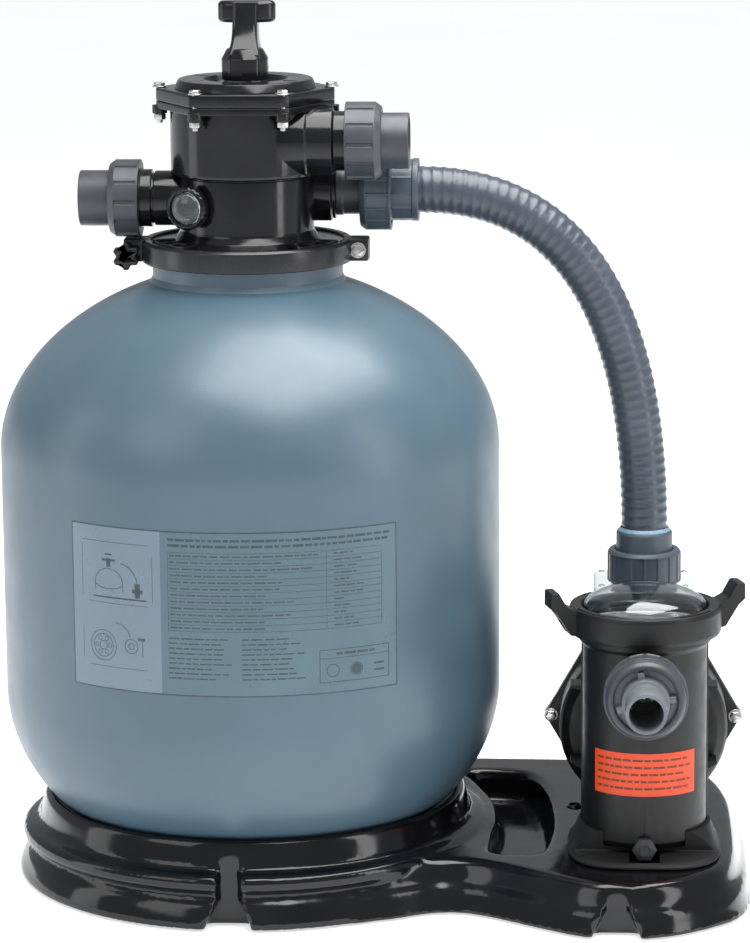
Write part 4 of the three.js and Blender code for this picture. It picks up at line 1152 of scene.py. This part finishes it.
make_pump_body()
make_pump_foot()
make_seal_plate()
make_motor()
make_terminal_box()
make_fan_cover()


# ---- Strainer pot: basket, clear lid and its ring ----
LID_EDGE = 312  # where the dome starts
GRIP_SIDE = [  # a ring handle from the side: distance from the axis, height
    (74, 299), (79, 287.5), (84, 288.5), (99, 312), (106, 318), (106, 334.6), (97, 335), (88, 319.5),
    (80, 315.5), (74, 314)
]
GRIP_MID = (90, 311)  # what its rounded sides shrink towards
GRIP_TURNS = (15.8, 195.8)


def make_basket():
    """A moulded basket: a grid of square holes, thickened and softened."""
    rows, columns = 35, 72
    rings = [(r, 92) for r in (10, 16, 22, 28, 34, 40, 46, 50)]
    rings += [(52.8 + 3.8 * k / rows, 94 + 194 * k / (rows - 1)) for k in range(rows)]
    points = [(*polar(r, angle), z) for r, z in rings for angle in around(columns)]
    faces = []
    for i in range(len(rings) - 1):
        for j in range(columns):
            if i % 2 and j % 2 and i < len(rings) - 3:
                continue
            n = (j + 1) % columns
            a, b = i * columns, (i + 1) * columns
            faces.append([a + j, a + n, b + n, b + j])
    faces.append(list(reversed(range(columns))))
    basket = new_object("strainer", points, faces)
    wall = basket.modifiers.new("wall", "SOLIDIFY")
    wall.thickness = 1.8 * MM
    wall.offset = 0
    soft = basket.modifiers.new("soft", "SUBSURF")
    soft.levels = soft.render_levels = 1
    bake(basket)
    rim = turned("rim", [(55.6, 287), (58, 287), (59.4, 291), (59.4, 294), (55, 294)], 0.7)
    bail = block("bail", -54, 54, -3.5, 3.5, 286.5, 290.5, 1, 1)
    basket = merged("strainer_basket_mesh", [basket, rim, bail])
    settle(put(basket, TO_POT), "basket", "basket_cream", "strainer_basket", body="basket", sharp=50)


def make_lid():
    """The clear lid: a skirt that the ring holds down, and a low dome."""

    def cap(r, rise, steps=20):
        angles = [math.pi / 2 * k / steps for k in range(steps)]
        return [Vector((r * math.cos(t), LID_EDGE + rise * math.sin(t))) for t in angles]

    skin = rounded([(61.6, 298.6), (70, 298.6), (70, 305.4), (65.6, 305.6)], 0.6)
    profile = [Vector((0, 334)), *reversed(cap(61.8, 22)), *skin, *cap(65.4, 25), Vector((0, 337))]
    settle(put(lathe("clear_lid", profile, 128), TO_POT), "clear", "clear_plastic", "pump_lid", body="lid")


def make_lid_ring():
    band = lathe("lid_lock_ring", rounded([
        (71.2, 286), (78.6, 286, 2), (80, 290, 3), (80, 311, 3), (78.4, 315.8, 2), (68.2, 316, 1),
        (66.6, 314.6, 0.8), (66.6, 306.5), (71.2, 306.5)],
        0.8, closed=True), 144)
    outline = rounded(GRIP_SIDE, 2.4, closed=True)
    rows = [(-14, 0.965), (-12.6, 0.99), (-11, 1), (11, 1), (12.6, 0.99), (14, 0.965)]
    mid_r, mid_z = GRIP_MID
    grips = []
    for angle in GRIP_TURNS:
        grip = loft("grip", [
            [(mid_r + (r - mid_r) * scale, y, mid_z + (z - mid_z) * scale) for r, z in outline]
            for y, scale in rows
        ])
        hollow = block("hollow", 84, 94, -8, 8, 280, 308, 2, 1)
        cut(grip, hollow)
        grips.append(put(grip, Matrix.Rotation(math.radians(angle), 4, "Z")))
    join(band, *grips)
    slots = []
    for start in (118, 200, 298, 20):
        arc = [math.radians(start + k * 3) for k in range(13)]
        outline = [polar(76, a) for a in arc] + [polar(73.6, a) for a in reversed(arc)]
        slots.append(slab("slot", outline, 309, 320, 0.2))
    inner = lathe("inner", [(0, 280), (71, 280), (71, 306.3), (66.4, 306.3), (66.4, 330), (0, 330)], 96)
    cut(band, inner, *slots)
    settle(put(band, TO_POT), "pump", "pump_black", "lid_ring", body="lid_ring")


def make_inlet_union():
    def grip(k, reach, z):
        return reach - 1.0 if reach > 43 and 2 < z < 19 and k % 12 > 1 else reach

    nut = turned("inlet_union_nut", [
        (34.7, 0, 0.4), (43.5, 0, 1), (43.5, 2.1, 0), (43.5, 2.5, 0), (43.5, 18.4, 0), (43.5, 18.8, 0),
        (43.5, 20.5, 1), (41.2, 21.5, 1), (41, 27, 3), (37.5, 32, 3), (33, 31, 1.4), (32.4, 24.6, 0.4),
        (34.7, 24.4, 0.4)], 0.5, 192, grip)
    settle(put(nut, TO_INLET @ at(0, 0, 204)), "nut", "nut_blue_grey", "inlet_nut", body="inlet_nut")
    tail = turned("inlet_union_tail", [
        (17.5, 222.4), (34.1, 222.4), (34.1, 227.8), (26, 228, 2), (24.5, 233, 2), (24.5, 244.4, 0.8),
        (21.2, 246, 0.6), (21, 286, 0.8), (17.5, 286, 0.8)], 0.5)
    tabs = []
    for angle in (math.radians(100), math.radians(5), math.radians(198)):
        tab = block("tab", 23, 31, -3.4, 3.4, 226, 236, 0.8, 0.8)
        tabs.append(put(tab, Matrix.Rotation(angle, 4, "Z")))
    join(tail, *tabs)
    settle(put(tail, TO_INLET), "pipe", "pump_black", "inlet_tail")


def make_drain_plug():
    head = slab("drain_screw", hexagon(13, 1), 169.5, 178, 1.4)
    lip = rod("lip", 10.6, 169.3, 171, 48, 0.4)
    shank = rod("shank", 6.9, 158, 170, 40, 0.8)
    dish = rod("dish", 6, 176.8, 180, 40, 0.2)
    join(head, lip, shank)
    cut(head, dish)
    settle(put(head, TO_DRAIN), "nut", "pump_black", "drain_plug", body="drain_plug")


def make_sticker():
    half, low, high = STICKER["half"], STICKER["low"], STICKER["high"]
    centre = Vector((POT.x, POT.y, 0))
    sheet = [level(-half, half, (low + high) / 2, high - low)]
    film = strips("pot_sticker", sheet, POT_R + 0.35, centre, 0.2)
    settle(film, "orange", "rubber")
    draw = random.Random(11)
    rows = []
    for row in range(5):
        rows += word_bars(draw, -half + 4, half - draw.uniform(4, 20), high - 7.5 - row * 7.6, 2.3)
    settle(strips("sticker_bars", rows, POT_R + 0.56, centre, 0.08), "dark_ink", "rubber")


make_basket()
make_lid()
make_lid_ring()
make_inlet_union()
make_drain_plug()
make_sticker()

# ---- CAD nodes that stay: their own shapes with their real materials, but painted shade on the valve rotor ----
KEPT = {
    "lateral_hub": "pale", "standpipe": "pipe", "flange_oring": "rubber", "cover_oring": "rubber",
    "spider_gasket": "rubber", "valve_rotor": "painted_shade", "rotor_spring": "steel", "stem_washer": "steel",
    "handle_pin": "steel", "shaft_seal": "rubber", "impeller": "pale", "motor_shaft": "steel",
    "motor_stator": "copper", "motor_fan": "pale", "lid_oring": "rubber",
}


def dress_kept_nodes():
    for node, look in KEPT.items():
        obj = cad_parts[node]
        obj.data.materials.clear()
        obj.data.materials.append(LOOK[look])
        edge = obj.modifiers.new("edge", "BEVEL")
        edge.width = 0.3 * MM
        edge.segments = 2
        edge.limit_method = "ANGLE"
        edge.angle_limit = math.radians(40)


dress_kept_nodes()


# ---- Floor, backdrop light and studio lights ----
def soft_light(name, place, target, size, power):
    data = bpy.data.lights.new(name, "AREA")
    data.shape = "RECTANGLE"
    data.size, data.size_y = size
    data.energy = power
    light = bpy.data.objects.new(name, data)
    bpy.context.scene.collection.objects.link(light)
    light.location = place
    light.rotation_euler = (Vector(target) - Vector(place)).to_track_quat("-Z", "Y").to_euler()


def make_studio():
    floor = new_object(
        "floor", [(-3e4, -3e4, -0.5), (3e4, -3e4, -0.5), (3e4, 3e4, -0.5), (-3e4, 3e4, -0.5)],
        [(0, 1, 2, 3)]
    )
    floor.data.materials.append(
        surface("pale_floor", (236, 237, 238), (241, 242, 243), (0.7, 0.9), 2, 60, 0.02,
        Emission_Strength=0.62)
    )
    world = bpy.data.worlds.new("studio")
    world.use_nodes = True
    sky = world.node_tree.nodes["Background"]
    sky.inputs["Color"].default_value = (0.93, 0.96, 1.0, 1)
    sky.inputs["Strength"].default_value = 0.42
    bpy.context.scene.world = world
    bpy.context.scene.view_settings.view_transform = "Standard"
    aim = (0.1, 0, 0.45)
    soft_light("key", (-2.2, -2.4, 2.3), aim, (1.6, 2.0), 22)
    soft_light("side", (2.6, -1.3, 1.3), aim, (0.6, 2.2), 20)
    soft_light("left_strip", (-2.4, -0.3, 0.9), aim, (0.7, 2.0), 8)
    soft_light("top", (0.5, -0.2, 2.5), aim, (2.4, 1.8), 120)


make_studio()
